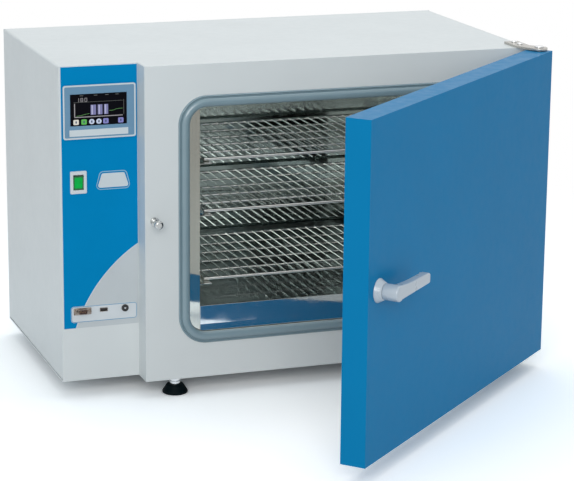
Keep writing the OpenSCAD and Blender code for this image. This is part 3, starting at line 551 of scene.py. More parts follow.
def screen_glass():
    """Black glass that shines little."""
    look = Look("screen_glass", (0.003, 0.003, 0.006), 0.18, Specular_IOR_Level=0.04)
    look.tint(look.noise(2000, 1), 0.3)
    return look.material


def rocker_lens():
    """Clear green plastic."""
    look = Look("rocker_lens", (0.0, 0.49, 0.07), 0.2, Specular_IOR_Level=0.12)
    look.tint(look.noise(160, 2), 0.18)
    look.bump(look.noise(900, 1), 0.000006)
    return look.material


LOOKS = {
    "white_paint": paint("white_paint", (0.70, 0.735, 0.74)),
    "blue_paint": paint("blue_paint", (0.003, 0.2, 0.435), 0.32, 0.045, 0.00001),
    "blue_film": film("blue_film", (0.0, 0.238, 0.53), 0.42, 0.03),
    "grey_film": film("grey_film", (0.56, 0.6, 0.62)),
    "bezel_grey": film("bezel_grey", (0.16, 0.3, 0.44), 0.35),
    "label_white": film("label_white", (0.63, 0.69, 0.72), 0.3),
    "light_plastic": plastic("light_plastic", (0.66, 0.7, 0.73)),
    "black_plastic": plastic("black_plastic", (0.02, 0.02, 0.022), 0.45),
    "plated_steel": plated("plated_steel", (0.78, 0.8, 0.82)),
    "grey_metal": brushed("grey_metal", (0.5, 0.49, 0.46), 0.3, ALONG_X),
    "silicone": rubber("silicone", (0.205, 0.3, 0.345), 0.22, 0.8),
    "mirror_steel": polished("mirror_steel", (0.56, 0.575, 0.55), 0.035, 0.0006),
    "shelf_wire": plated("shelf_wire", (0.8, 0.8, 0.78), 0.12),
    "heater_sheath": brushed("heater_sheath", (0.2, 0.18, 0.16), 0.5, ALONG_Y),
    "mineral_wool": wool("mineral_wool", (0.66, 0.6, 0.36)),
    "circuit_board": plastic("circuit_board", (0.01, 0.12, 0.05), 0.3, 600),
    "black_rubber": rubber("black_rubber", (0.002, 0.006, 0.008), 0.5, 0.05),
    "brass": brushed("brass", (0.72, 0.52, 0.22), 0.25, ALONG_X),
    "handle_grey": lacquer("handle_grey", (0.42, 0.48, 0.54)),
    "core_iron": plastic("core_iron", (0.12, 0.13, 0.14), 0.5, 800),
    "screen_black": screen_glass(),
    "tinned_shell": brushed("tinned_shell", (0.3, 0.26, 0.23), 0.32, ALONG_X),
    "socket_maroon": plastic("socket_maroon", (0.045, 0.012, 0.012), 0.4),
}

NODE_LOOKS = {
    # The floor cover's front colour is brightened steel, painted light in the sill's reflection;
    # its top colour is a painted dark reflection
    "floor_cover": shaded_floor_sheet("floor_steel", (0.8, 0.86, 0.88), (0.17, 0.235, 0.235)),
    # The liner's darker, green-tinted steel colour is a painted dark reflection
    "chamber_liner": liner_sheet("liner_steel", (0.42, 0.5, 0.48)),
    # One guide steel in two colours: the left tinted beige as a painted reflection, the right
    # brighter as painted light
    "side_guide_left": guide_sheet("guide_steel", (0.74, 0.76, 0.7)),
    "side_guide_right": guide_sheet("guide_steel_right_painted_light", (0.88, 0.9, 0.88)),
    "door_inner_panel": polished("panel_steel", (0.37, 0.365, 0.35), 0.03, 0.0004),
    "latch_keeper": plated("keeper_chrome", (0.5, 0.52, 0.52), 0.07),
    # The rocker's dark green round its lens is painted shade of the recess
    "power_rocker": plastic("rocker_rim_painted_shade", (0.0, 0.13, 0.03), 0.35, 900, 0.00001),
}

# Edge radii in millimetres
SOFT_EDGES = {
    "casing_wrap": 0.5, "column_front": 1.2, "chamber_front": 2.2, "rear_panel": 0.7,
    "base_pan": 0.5, "display_frame": 0.7, "switch_bezel": 0.5, "power_rocker": 0.4,
    "port_plate": 0.3, "latch_keeper": 0.7, "upper_hinge_plate": 0.5, "lower_hinge_plate": 0.5,
    "hinge_pins": 0.5, "casing_screws": 0.4, "door_shell": 1.3, "door_inner_panel": 1.0,
    "latch_pocket": 0.4, "latch_claw": 0.4, "handle_escutcheon": 1.2, "side_guide_left": 0.5,
    "side_guide_right": 0.5, "floor_cover": 0.5, "shelf_rails_left": 0.4, "shelf_rails_right": 0.4,
    "vent_plate": 0.4, "vent_damper": 0.4, "mains_inlet": 0.5, "probe_jack": 0.5,
    "serial_socket": 0.25, "usb_socket": 0.2,
}


def dress_nodes():
    slot_of = {s["node"]: s["material_slot"] for s in frame["record"]["subparts"]}
    for name, node in nodes.items():
        look = NODE_LOOKS.get(name) or LOOKS.get(slot_of[name])
        if look is not None:
            for slot in node.material_slots:
                slot.material = look
    for name, width in SOFT_EDGES.items():
        soften(name, width * MM)


# Door gasket: how far its section reaches from the opening, and the opening's corner radius
GASKET_LIP = 19.5 * MM
GASKET_BEAD = 14.5 * MM
OPENING_R = 31 * MM
CROWN_STEPS = 14
CROWN_ROOT = 0.3
CROWN_INSET = 0.1 * MM
CORNER_STEPS = 16
# The clamping edge: (distance from the opening, height over the chamber front)
CLAMP_EDGE = (
    (GASKET_BEAD + 0.0006, 0.0009), (GASKET_LIP - 0.0034, 0.0009), (GASKET_LIP - 0.0028, 0.0024),
    (GASKET_LIP - 0.0018, 0.003), (GASKET_LIP - 0.0007, 0.0024), (GASKET_LIP, 0.0008),
    (GASKET_LIP, 0.0),
)


def gasket_section(depth):
    """A round bead, a groove and a clamping edge."""
    crown = []
    for n in range(CROWN_STEPS + 1):
        t = math.pi * n / CROWN_STEPS
        rise = CROWN_ROOT + (1 - CROWN_ROOT) * math.sin(t)
        crown.append((GASKET_BEAD * (0.5 - 0.5 * math.cos(t)), depth * rise - CROWN_INSET))
    return [(0.0, 0.0)] + crown + list(CLAMP_EDGE)


def make_gasket():
    """The gasket's section, swept round the opening."""
    low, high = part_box("door_gasket")
    profile = gasket_section(high.y - low.y)
    bm = bmesh.new()
    rows = []
    inner = inset_rect(low, high, GASKET_LIP, OPENING_R, CORNER_STEPS)
    outer = inset_rect(low, high, 0, OPENING_R + GASKET_LIP, CORNER_STEPS)
    for (x0, z0), (x1, z1) in zip(inner, outer):
        dx, dz = (x1 - x0) / GASKET_LIP, (z1 - z0) / GASKET_LIP
        rows.append([bm.verts.new((x0 + dx * u, high.y - v, z0 + dz * u)) for u, v in profile])
    grid_faces(bm, rows, True, True)
    gasket = place(new_object("gasket", bm, 50), "cabinet", "silicone", LOOKS["silicone"])
    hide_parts("door_gasket")


# Radius of the fine hole that closes a turned shape's end
HOLLOW_R = 1 * MM

# Levelling feet
FEET = {
    "foot_front_left": "foot_fl", "foot_front_right": "foot_fr",
    "foot_rear_left": "foot_rl", "foot_rear_right": "foot_rr",
}
PAD_CORE = 0.3
PAD_TOP = 0.0165
# The pad's side: (distance inside its widest radius, height)
PAD_SIDE = (
    (0.0018, 0), (0.0006, 0.0008), (0, 0.0024), (0.0005, 0.0042), (0.0024, 0.0072),
    (0.0048, 0.011), (0.0066, 0.0138), (0.0076, 0.0155), (0.0086, 0.0163), (0.0098, PAD_TOP),
)
STUD_R = 0.005
STUD_CUT = 0.0008
# The collar: (radius, height)
COLLAR = (
    (0.003, 0.0164), (0.0094, 0.0164), (0.0094, 0.0215), (0.0088, 0.0222), (0.0092, 0.0228),
    (0.0098, 0.0234), (0.0098, 0.0298), (0.0092, 0.0305), (STUD_R, 0.0306),
)


def make_feet():
    """Rubber pads with a rounded rim, a plated collar and a stud."""
    rubber_look, steel = LOOKS["black_rubber"], LOOKS["plated_steel"]
    for node, body in FEET.items():
        low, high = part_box(node)
        centre = ((low.x + high.x) / 2, (low.y + high.y) / 2, 0)
        r = (high.x - low.x) / 2
        side = [(r - inset, height) for inset, height in PAD_SIDE]
        pad = lathe([(PAD_CORE * r, 0)] + side + [(PAD_CORE * r, PAD_TOP)], centre, (0, 0, 1))
        pad = place(new_object(node + "_pad", pad, 40), body, "black_rubber", rubber_look)
        stud_end = [
            (STUD_R, high.z - STUD_CUT), (STUD_R - STUD_CUT, high.z), (HOLLOW_R, high.z),
        ]
        stud = lathe(list(COLLAR) + stud_end, centre, (0, 0, 1), 48)
        place(new_object(node + "_stud", stud, 35), body, "plated_steel", steel)
        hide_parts(node)


# Door handle, drawn on the closed door
DOOR_OPEN = math.radians(42.3)
HINGE = (0.652, -0.0525)
SPINDLE = (-0.024, 0.309)
SPINDLE_R = 0.005
DOOR_FACE = -0.074
NECK_ROOT = DOOR_FACE - 0.0113
GRIP_FACE = DOOR_FACE - 0.038
GRIP_THICK = 0.013
GRIP_LENGTH = 0.108
GRIP_CUT = 0.003
TIP_HALF = 0.0085
TIP_R = 0.0042
HOLLOW_STEPS = 12
HOLLOW_DEPTH = 0.0016
NECK_CORE = 0.003
NECK_CUT = 0.0006
NECK_INSET = 0.0001
SPINDLE_LENGTH = 0.038
RETURN_INSET = 0.0014
RETURN_X = (0.0068, 0.0016)
RETURN_R = 0.0016
RETURN_Y = (-0.001, 0.005)
RETURN_EDGE = 0.0007


def at_rest(bm):
    """Swings a shape that was drawn on the closed door to the rest position."""
    pivot = Vector((*HINGE, 0))
    swing = Matrix.Rotation(DOOR_OPEN, 4, "Z")
    turn = Matrix.Translation(pivot) @ swing @ Matrix.Translation(-pivot)
    bmesh.ops.transform(bm, matrix=turn, verts=bm.verts)


def place_on_lever(name, bm, smooth_angle, slot="handle_grey"):
    at_rest(bm)
    return place(new_object(name, bm, smooth_angle), "handle", slot, LOOKS[slot])


def lever_outline(neck_r):
    """The lever's flat front: round at the spindle, hollowed on top, with a round tip."""
    x0, z0 = SPINDLE
    points = [
        (neck_r * math.cos(math.radians(t)), neck_r * math.sin(math.radians(t)))
        for t in range(70, 301, 5)
    ]
    tip_x = GRIP_LENGTH - TIP_R
    for start, cz in ((-90, TIP_R - TIP_HALF), (0, TIP_HALF - TIP_R)):
        for n in range(5):
            t = math.radians(start + 90 * n / 4)
            points.append((tip_x + TIP_R * math.cos(t), cz + TIP_R * math.sin(t)))
    first = points[0]
    for n in range(1, HOLLOW_STEPS):
        t = n / HOLLOW_STEPS
        straight = TIP_HALF + (first[1] - TIP_HALF) * t
        hollow = HOLLOW_DEPTH * math.sin(math.pi * t ** 1.6)
        points.append((tip_x + (first[0] - tip_x) * t, straight - hollow))
    return [(x0 + x, z0 + z) for x, z in points]


def inset_outline(points, inset):
    """An anticlockwise outline moved inwards."""
    moved = []
    for n, point in enumerate(points):
        before, after = Vector(points[n - 1]), Vector(points[(n + 1) % len(points)])
        along = (after - before).normalized()
        moved.append((point[0] - along.y * inset, point[1] + along.x * inset))
    return moved


def rounded_plate(bm, outline, y0, y1, cut, steps=4):
    """A plate whose front edge, at y0, is rounded off by cut."""
    rows = [[bm.verts.new((x, y1, z)) for x, z in outline]]
    for n in range(steps + 1):
        t = math.radians(90 * n / steps)
        line = inset_outline(outline, cut * (1 - math.cos(t)))
        rows.append([bm.verts.new((x, y0 + cut * (1 - math.sin(t)), z)) for x, z in line])
    grid_faces(bm, rows, False, True)
    bm.faces.new(rows[0])
    bm.faces.new(rows[-1])


def make_neck(neck_r):
    """The round neck and the spindle inside the door."""
    x0, z0 = SPINDLE
    end = GRIP_FACE + GRIP_THICK * 0.5
    side = neck_r - NECK_INSET
    profile = [
        (NECK_CORE, NECK_ROOT), (side - NECK_CUT, NECK_ROOT), (side, NECK_ROOT - NECK_CUT),
        (side, end), (NECK_CORE, end),
    ]
    place_on_lever("handle_neck", lathe(profile, (x0, 0, z0), (0, 1, 0), 72), 40)


def make_return():
    """The small return behind the lever's tip."""
    x0, z0 = SPINDLE
    half = TIP_HALF - RETURN_INSET
    tip = x0 + GRIP_LENGTH
    bm = bmesh.new()
    x1, x2 = (tip - inset for inset in RETURN_X)
    y0, y1 = (GRIP_FACE + GRIP_THICK + depth for depth in RETURN_Y)
    extruded(bm, round_rect(x1, z0 - half, x2, z0 + half, RETURN_R, 5), y0, y1)
    round_edges(place_on_lever("handle_return", bm, 30), RETURN_EDGE)


def make_spindle():
    ends = ((HOLLOW_R, 0), (HOLLOW_R, SPINDLE_LENGTH))
    profile = [ends[0], (SPINDLE_R, 0), (SPINDLE_R, SPINDLE_LENGTH), ends[1]]
    bm = lathe(profile, (SPINDLE[0], NECK_ROOT, SPINDLE[1]), (0, 1, 0), 32)
    place_on_lever("handle_spindle", bm, 35, "grey_metal")


def make_handle():
    """The lever: a round neck that ends in a flat tapering bar with a small return at its tip."""
    low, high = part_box("handle_lever")
    neck_r = (high.z - low.z) / 2
    bar = bmesh.new()
    rounded_plate(bar, lever_outline(neck_r), GRIP_FACE, GRIP_FACE + GRIP_THICK, GRIP_CUT)
    handle = place_on_lever("handle", bar, 30)
    make_neck(neck_r)
    make_return()
    make_spindle()
    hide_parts("handle_lever")


# Display. Places on the glass are (u, v): u to the right and v downwards, both from 0 to 1.
# The display rim is a light ring on the frame: a painted highlight on its bevelled edge
RIM_WIDTH = 2.6 * MM
RIM_R = (4 * MM, 2.5 * MM)
RIM_Y = (-0.0004, 0.0002)
PICTURE_Y = (-0.0002, 0.0001)
SHARP_R = 0.00002
DIGIT_SIZE = (0.045, 0.12)
DIGIT_STROKE = 0.008
DIGIT_PITCH = 1.6
DIGIT_AT = (0.11, 0.12)
SEGMENTS_OF = {"1": "bc", "8": "abcdefg", "0": "abcdef"}
AXES = ((0.068, 0.29, 0.084, 0.735), (0.068, 0.712, 0.93, 0.738))
FAINT_LINES = ((0.945, 0.22, 0.951, 0.7), (0.06, 0.25, 0.93, 0.258))
FAINT_MARKS = (0.17, 0.42, 0.62, 0.8)
MARK_WIDTH = 0.06
MARK_V = (0.04, 0.055)
BARS = ((0.36, 0.455), (0.485, 0.568), (0.597, 0.67))
BARS_V = (0.35, 0.665)
SHINES = (0.375, 0.5, 0.61)
SHINE_WIDTH = 0.022
SHINES_V = (0.36, 0.655)
CURVES = (
    ((0.11, 0.69), (0.2, 0.67), (0.25, 0.645), (0.34, 0.62)),
    ((0.69, 0.56), (0.76, 0.555), (0.82, 0.515), (0.93, 0.505)),
)
CURVE_WIDTH = 0.6 * MM
# The row of keys: middle, tone, corner radius as a share of KEY_R
KEYS = (
    (0.1, "white", 0.2), (0.24, "green", 0.2), (0.377, "blue", 0.5), (0.504, "blue", 0.5),
    (0.627, "violet", 0.2), (0.894, "violet", 0.2),
)
KEY_R = 0.0085
KEY_HALF = 0.048
KEY_V = (0.8, 0.965)
KEY_GLOW = 0.58
KEY_MARK_HALF = 0.012
KEY_MARK_V = (0.845, 0.92)
KEY_MARK_R = 0.8 * MM
KEY_TONES = {
    "white": (0.72, 0.7, 0.62), "green": (0.09, 0.46, 0.07), "blue": (0.56, 0.63, 0.8),
    "violet": (0.22, 0.22, 0.55),
}
LIFT = 0.1 * MM


class Screen:
    """Draws thin lit shapes on the display's glass."""

    def __init__(self):
        low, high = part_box("display_screen")
        self.left, self.top = low.x, high.z
        self.w, self.h = high.x - low.x, high.z - low.z
        self.face, self.back = (low.y + depth for depth in PICTURE_Y)

    def spot(self, u, v):
        return self.left + u * self.w, self.top - v * self.h

    def bar(self, bm, u0, v0, u1, v1, r=0.0):
        x0, z0 = self.spot(u0, v1)
        x1, z1 = self.spot(u1, v0)
        extruded(bm, round_rect(x0, z0, x1, z1, max(r, SHARP_R), 3), self.face, self.back)

    def line(self, bm, points, width):
        middle = [self.spot(u, v) for u, v in points]
        upper = [(x, z + width / 2) for x, z in middle]
        lower = [(x, z - width / 2) for x, z in middle]
        band(bm, upper, lower, self.face, self.back, closed=False)

    def digits(self, bm, u, v, text):
        """Plain seven-segment digits, from the top left corner u, v."""
        w, h = DIGIT_SIZE
        t = DIGIT_STROKE
        boxes = {
            "a": (0, 0, w, t * 1.8), "g": (0, h / 2 - t * 0.9, w, h / 2 + t * 0.9),
            "d": (0, h - t * 1.8, w, h), "f": (0, 0, t, h / 2), "e": (0, h / 2, t, h),
            "b": (w - t, 0, w, h / 2), "c": (w - t, h / 2, w, h),
        }
        for n, digit in enumerate(text):
            left = u + n * w * DIGIT_PITCH
            for segment in SEGMENTS_OF[digit]:
                u0, v0, u1, v1 = boxes[segment]
                self.bar(bm, left + u0, v + v0, left + u1, v + v1)

    def show(self, name, bm, look, lift=0.0):
        """Makes the shapes drawn so far a piece of the display."""
        bmesh.ops.transform(bm, matrix=Matrix.Translation((0, -lift, 0)), verts=bm.verts)
        place(new_object(name, bm), "cabinet", "screen_black", look)


def make_highlight_rim():
    # A light ring on the frame, a painted highlight of its bevelled edge
    low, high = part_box("display_frame")
    rim = bmesh.new()
    outer = inset_rect(low, high, 0, RIM_R[0])
    inner = inset_rect(low, high, RIM_WIDTH, RIM_R[1])
    band(rim, outer, inner, low.y + RIM_Y[0], low.y + RIM_Y[1])
    place(new_object("display_rim_painted_highlight", rim), "cabinet", "label_white", LOOKS["label_white"])


def make_chart(screen):
    """Axes, a number, faint lines, three bars and a curve."""
    axes = bmesh.new()
    for box in AXES:
        screen.bar(axes, *box)
    screen.digits(axes, *DIGIT_AT, "180")
    screen.show("screen_axes", axes, glowing("screen_light", (0.42, 0.4, 0.42), 0.35))
    faint = bmesh.new()
    for box in FAINT_LINES:
        screen.bar(faint, *box)
    for u in FAINT_MARKS:
        screen.bar(faint, u, MARK_V[0], u + MARK_WIDTH, MARK_V[1])
    screen.show("screen_faint", faint, glowing("screen_dim", (0.2, 0.21, 0.2), 0.25))
    bars = bmesh.new()
    for u0, u1 in BARS:
        screen.bar(bars, u0, BARS_V[0], u1, BARS_V[1])
    screen.show("screen_bars", bars, glowing("screen_lavender", (0.22, 0.22, 0.45), 0.45))
    shine = bmesh.new()
    for u in SHINES:
        screen.bar(shine, u, SHINES_V[0], u + SHINE_WIDTH, SHINES_V[1])
    screen.show("screen_bar_shine", shine, glowing("screen_pale", (0.5, 0.5, 0.72), 0.5), LIFT)
    curve = bmesh.new()
    for points in CURVES:
        screen.line(curve, points, CURVE_WIDTH)
    screen.show("screen_curve", curve, glowing("screen_green", (0.1, 0.3, 0.08), 0.6))


def make_keys(screen):
    """The row of keys along the screen's lower edge, and a mark on each."""
    for tone, colour in KEY_TONES.items():
        bm = bmesh.new()
        for u, name, r in KEYS:
            if name == tone:
                screen.bar(bm, u - KEY_HALF, KEY_V[0], u + KEY_HALF, KEY_V[1], r * KEY_R)
        screen.show("screen_keys_" + tone, bm, glowing("key_" + tone, colour, KEY_GLOW))
    marks = bmesh.new()
    for u, _, _ in KEYS:
        u0, u1 = u - KEY_MARK_HALF, u + KEY_MARK_HALF
        screen.bar(marks, u0, KEY_MARK_V[0], u1, KEY_MARK_V[1], KEY_MARK_R)
    screen.show("screen_key_marks", marks, glowing("key_mark", (0.05, 0.09, 0.2), 0.3), LIFT)


def make_display():
    make_highlight_rim()
    screen = Screen()
    make_chart(screen)
    make_keys(screen)


# The arc between the blue and the grey film: its radius, and its centre from the grey film's
# lower right corner
ARC_R = 263.6 * MM
ARC_RIGHT = 139.8 * MM
ARC_BELOW = 80.7 * MM
ARC_STEPS = 40
ARC_END_GAP = 0.5 * MM
ARC_LINE = (0.0002, -0.0016)
PRINT_DEPTH = 0.1 * MM
# The port plate's outline: (distance from its edge, corner radius) outside and inside
PORT_LINE = ((0.4 * MM, 4.6 * MM), (1.4 * MM, 3.6 * MM))


def make_arc_line():
    """The light line along the label's arc."""
    low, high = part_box("label_grey")
    cx, cz = high.x + ARC_RIGHT, low.z - ARC_BELOW
    start = math.asin((low.z + ARC_END_GAP - cz) / ARC_R)
    end = math.acos((cx - high.x + ARC_END_GAP) / ARC_R)
    angles = [math.pi - start - (end - start) * n / ARC_STEPS for n in range(ARC_STEPS + 1)]
    outer, inner = (
        [(cx + (ARC_R + grow) * math.cos(a), cz + (ARC_R + grow) * math.sin(a)) for a in angles]
        for grow in ARC_LINE
    )
    bm = bmesh.new()
    band(bm, outer, inner, low.y - PRINT_DEPTH, low.y + PRINT_DEPTH, closed=False)
    place(new_object("label_arc_line", bm), "cabinet", "label_white", LOOKS["label_white"])


def make_port_outline():
    """The printed outline of the port plate."""
    low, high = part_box("port_plate")
    bm = bmesh.new()
    outer, inner = (inset_rect(low, high, inset, r) for inset, r in PORT_LINE)
    band(bm, outer, inner, low.y - PRINT_DEPTH, low.y + PRINT_DEPTH)
    look = film("outline_blue", (0.13, 0.33, 0.52))
    place(new_object("port_outline", bm), "cabinet", "blue_film", look)


# Badge
BADGE_SLANT = 8 * MM
BADGE_R = 7.5 * MM
BADGE_LEAST_R = 2 * MM
BADGE_INSET = 3.6 * MM
BADGE_EDGE = 0.4 * MM
RING_WIDTH = 1.3 * MM
RING_DEPTH = 0.25 * MM


def make_badge():
    """A bare light plate with round corners, and a thin ring round it on the film."""
    low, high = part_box("badge_plate")

    def outline(inset):
        x0, x1, z0, z1 = low.x + inset, high.x - inset, low.z + inset, high.z - inset
        corners = ((x0, z0), (x1, z0), (x1 - BADGE_SLANT, z1), (x0 + BADGE_SLANT, z1))
        return rounded(corners, max(BADGE_R - inset, BADGE_LEAST_R))

    plate = bmesh.new()
    extruded(plate, outline(BADGE_INSET), low.y, high.y)
    badge = place(new_object("badge", plate, 30), "cabinet", "label_white", LOOKS["label_white"])
    round_edges(badge, BADGE_EDGE)
    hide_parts("badge_plate")
    ring = bmesh.new()
    band(ring, outline(0), outline(RING_WIDTH), high.y - RING_DEPTH, high.y + PRINT_DEPTH)
    look = film("ring_blue", (0.3, 0.5, 0.62))
    place(new_object("badge_ring", ring), "cabinet", "blue_film", look)


# Rocker's lens: half width, half height and corner radius, and its rings as (share of the
# outline, height over the rocker's face in millimetres)
LENS_HALF = (6.9 * MM, 9.6 * MM)
LENS_R = 2.4 * MM
LENS_RINGS = ((1.0, 0.05), (0.985, -0.08), (0.95, -0.16), (0.88, -0.2), (0.6, -0.2), (0.3, -0.2))


def front_of(node):
    """Finds the y of a node's front surface at x, z."""
    mesh = nodes[node].data
    corners = [v.co for v in mesh.vertices]
    tree = BVHTree.FromPolygons(corners, [p.vertices for p in mesh.polygons])
    return lambda x, z: tree.ray_cast(Vector((x, -1, z)), Vector((0, 1, 0)))[0].y


def make_rocker_lens():
    """The rocker's bright lens, which follows the rocker's face inside a darker rim, painted shade
    of the recess round the lens.
    """
    cx, cz = middle_of(*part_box("power_rocker"))
    depth = front_of("power_rocker")
    outline = box_round(cx, cz, LENS_HALF, LENS_R, 5)
    bm = bmesh.new()
    rows = []
    for scale, lift in LENS_RINGS:
        ring = [(cx + (x - cx) * scale, cz + (z - cz) * scale) for x, z in outline]
        rows.append([bm.verts.new((x, depth(x, z) + lift * MM, z)) for x, z in ring])
    grid_faces(bm, rows, False, True)
    bm.faces.new(rows[-1])
    place(new_object("rocker_lens", bm, 60), "rocker", "green_plastic", rocker_lens())


# Nine-way serial socket
SHELL_HALF = (8.2 * MM, 3.9 * MM)
SHELL_SLOPE = 1.3 * MM
SHELL_WALL = (0.0005, -0.0002)
SHELL_R = 1.4 * MM
SHELL_Y = (-0.0058, -0.0008)
FLANGE_R = 1.5 * MM
FLANGE_POINTS = 68
FLANGE_THICK = 1 * MM
INSERT_Y = (-0.0032, -0.0006)
PIN_PITCH = 2.7 * MM
PIN_ROW = 1.4 * MM
PIN_FRONT = 0.0049
PIN = ((0.0001, 0), (0.0003, 0.0001), (0.0005, 0.0005), (0.0005, 0.0019), (0.0002, 0.0019))
SCREW_OUT = 12.5 * MM
SCREW_FRONT = 0.005
SCREW = ((0.0015, 0.0025), (0.0015, 0.0), (0.0022, 0.0), (0.0026, 0.0004), (0.0026, 0.0042))


def d_outline(x, z, grow):
    """The outline of a nine-way shell round x, z."""
    half_w, half_h = SHELL_HALF[0] + grow, SHELL_HALF[1] + grow
    low_w = half_w - SHELL_SLOPE
    corners = ((-low_w, -half_h), (low_w, -half_h), (half_w, half_h), (-half_w, half_h))
    return rounded([(x + u, z + v) for u, v in corners], SHELL_R, 4)


def make_serial_shell(x, z, plate_y):
    low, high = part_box("serial_socket")
    outer, inner = (d_outline(x, z, grow) for grow in SHELL_WALL)
    shell = bmesh.new()
    flange = inset_rect(low, high, 0, FLANGE_R, 16)
    band(shell, flange, evenly_spaced(inner, FLANGE_POINTS), plate_y - FLANGE_THICK, plate_y)
    band(shell, outer, inner, plate_y + SHELL_Y[0], plate_y + SHELL_Y[1])
    look = LOOKS["tinned_shell"]
    socket = place(new_object("serial_shell", shell, 35), "cabinet", "plated_steel", look)
    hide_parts("serial_socket")
    insert = bmesh.new()
    extruded(insert, inner, plate_y + INSERT_Y[0], plate_y + INSERT_Y[1])
    look = LOOKS["socket_maroon"]
    place(new_object("serial_insert", insert, 35), "cabinet", "black_plastic", look)


def make_serial_socket(plate_y):
    """The shell with its dark insert, nine pins and two jack screws."""
    x, z = middle_of(*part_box("serial_socket"))
    make_serial_shell(x, z, plate_y)
    pins = [(x + k * PIN_PITCH, z + PIN_ROW) for k in range(-2, 3)]
    pins += [(x + (k - 1.5) * PIN_PITCH, z - PIN_ROW) for k in range(4)]
    for n, (px, pz) in enumerate(pins):
        pin = lathe(PIN, (px, plate_y - PIN_FRONT, pz), (0, 1, 0), 12)
        place(new_object(f"serial_pin_{n}", pin, 40), "cabinet", "brass", LOOKS["brass"])
    for side in (-1, 1):
        screw = lathe(SCREW, (x + side * SCREW_OUT, plate_y - SCREW_FRONT, z), (0, 1, 0), 6)
        name = f"serial_screw_{side + 1}"
        place(new_object(name, screw), "cabinet", "plated_steel", LOOKS["tinned_shell"])


# USB socket
USB_WALL = 0.5 * MM
USB_R = (0.7 * MM, 0.4 * MM)
USB_DEPTH = 6 * MM
USB_FLOOR = 4.5 * MM
USB_TONGUE_HALF = (0.0053, 0.0008)
USB_TONGUE_Y = (0.001, 0.005)
USB_TONGUE_R = 0.3 * MM
USB_TONGUE_UP = 1 * MM


def make_usb_socket():
    """The shell, with a dark insert and its tongue."""
    low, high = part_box("usb_socket")
    shell = bmesh.new()
    inner = inset_rect(low, high, USB_WALL, USB_R[1], 4)
    band(shell, inset_rect(low, high, 0, USB_R[0], 4), inner, low.y, low.y + USB_DEPTH)
    look = LOOKS["tinned_shell"]
    socket = place(new_object("usb_shell", shell, 35), "cabinet", "plated_steel", look)
    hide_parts("usb_socket")
    insert = bmesh.new()
    extruded(insert, inner, low.y + USB_FLOOR, low.y + USB_DEPTH)
    cx, cz = middle_of(low, high)
    tongue = box_round(cx, cz + USB_TONGUE_UP, USB_TONGUE_HALF, USB_TONGUE_R, 3)
    extruded(insert, tongue, low.y + USB_TONGUE_Y[0], low.y + USB_TONGUE_Y[1])
    look = LOOKS["black_plastic"]
    place(new_object("usb_insert", insert, 35), "cabinet", "black_plastic", look)


# Probe jack, as (radius, depth behind the nut's face)
JACK_NUT = (
    (0.0029, 0.0024), (0.0029, 0.0003), (0.0033, 0.0), (0.0055, 0.0), (0.0062, 0.0006),
    (0.0062, 0.0024),
)
JACK_WELL = ((0.0014, 0.0016), (0.0026, 0.0014), (0.0032, 0.001), (0.0032, 0.0024))
JACK_CONTACT = (
    (0.0006, 0.0016), (0.0006, 0.001), (0.0009, 0.0007), (0.0013, 0.0007), (0.0016, 0.001),
    (0.0016, 0.0023),
)


def make_probe_jack():
    """The jack's nut, its well and its contact."""
    low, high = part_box("probe_jack")
    x, z = middle_of(low, high)
    centre = (x, low.y, z)
    dark, steel = LOOKS["black_plastic"], LOOKS["plated_steel"]
    nut = lathe(JACK_NUT, centre, (0, 1, 0), 48)
    jack = place(new_object("jack_nut", nut, 35), "cabinet", "black_plastic", dark)
    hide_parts("probe_jack")
    well = lathe(JACK_WELL, centre, (0, 1, 0), 40)
    place(new_object("jack_well", well, 40), "cabinet", "black_plastic", dark)
    contact = lathe(JACK_CONTACT, centre, (0, 1, 0), 40)
    place(new_object("jack_contact", contact, 40), "cabinet", "plated_steel", steel)


def make_sockets():
    make_serial_socket(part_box("port_plate")[0].y)
    make_usb_socket()
    make_probe_jack()


# Mains inlet: the pins' middles from the inlet's middle, and their half sizes
INLET_PINS = ((-0.007, -0.002), (0.0, 0.002), (0.007, -0.002))
INLET_PIN_HALF = (0.001, 0.002)
INLET_PIN_R = 0.4 * MM
INLET_FLOOR = 0.0155
INLET_PIN_REACH = (-0.001, 0.012)


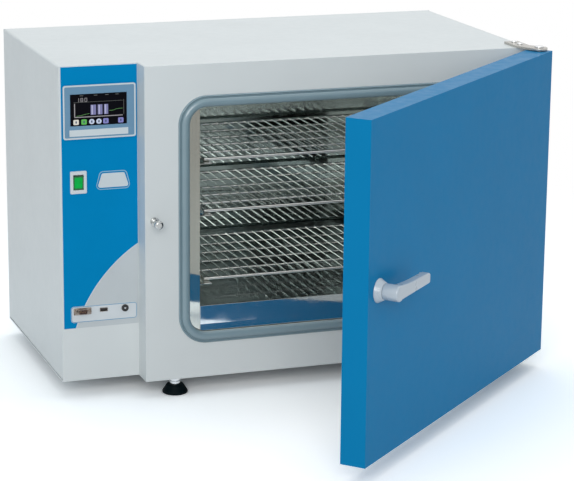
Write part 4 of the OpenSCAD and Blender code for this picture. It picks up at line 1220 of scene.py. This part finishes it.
def make_inlet_pins():
    """Three flat pins in the mains inlet."""
    low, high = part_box("mains_inlet")
    cx, cz = middle_of(low, high)
    y0, y1 = (high.y - INLET_FLOOR + reach for reach in INLET_PIN_REACH)
    bm = bmesh.new()
    for dx, dz in INLET_PINS:
        extruded(bm, box_round(cx + dx, cz + dz, INLET_PIN_HALF, INLET_PIN_R, 3), y0, y1)
    steel = LOOKS["plated_steel"]
    place(new_object("inlet_pins", bm), "cabinet", "plated_steel", steel)


# Floor: its middle and radius, and where it fades into the white round it
FLOOR_MIDDLE = Vector((0.25, 0.2, 0))
FLOOR_REACH = 3.2
FLOOR_FADE = 0.6
FLOOR_WHITE = 1.5
FLOOR_STEPS = 96
FLOOR_SEEN = (1.36, 1.37, 1.38)
FLOOR_LIT = (0.6, 0.62, 0.64)


def floor_look():
    look = Look("floor", (0.8, 0.8, 0.8), 0.9, Specular_IOR_Level=0.0)
    seen = seen_directly(look.tree)
    mix = look.node("ShaderNodeMix", data_type="RGBA")
    mix.inputs["A"].default_value = (*FLOOR_LIT, 1)
    mix.inputs["B"].default_value = (*FLOOR_SEEN, 1)
    look.link(seen, mix.inputs["Factor"])
    look.link(mix.outputs["Result"], look.shader.inputs["Base Color"])
    distance = look.node("ShaderNodeVectorMath", operation="DISTANCE")
    distance.inputs[1].default_value = FLOOR_MIDDLE
    look.link(look.coords, distance.inputs[0])
    fade = look.span(distance.outputs["Value"], 0, 1, FLOOR_FADE, FLOOR_WHITE)
    white = look.node("ShaderNodeEmission")
    white.inputs["Strength"].default_value = 1.0
    blend = look.node("ShaderNodeMixShader")
    look.link(look.maths("MULTIPLY", fade, seen), blend.inputs[0])
    look.link(look.shader.outputs[0], blend.inputs[1])
    look.link(white.outputs[0], blend.inputs[2])
    look.link(blend.outputs[0], look.tree.nodes["Material Output"].inputs["Surface"])
    return look.material


def make_floor():
    """A pale floor that shows as white where no shadow falls on it."""
    bm = bmesh.new()
    ring = [
        bm.verts.new(FLOOR_MIDDLE + Vector((math.cos(t), math.sin(t), 0)) * FLOOR_REACH)
        for t in (2 * math.pi * n / FLOOR_STEPS for n in range(FLOOR_STEPS))
    ]
    bm.faces.new(ring)
    floor = new_object("floor", bm)
    floor.data.materials.append(floor_look())


make_camera()
make_world()
make_lights()
dress_nodes()
make_gasket()
make_feet()
make_handle()
make_display()
make_arc_line()
make_port_outline()
make_badge()
make_rocker_lens()
make_sockets()
make_inlet_pins()
make_floor()
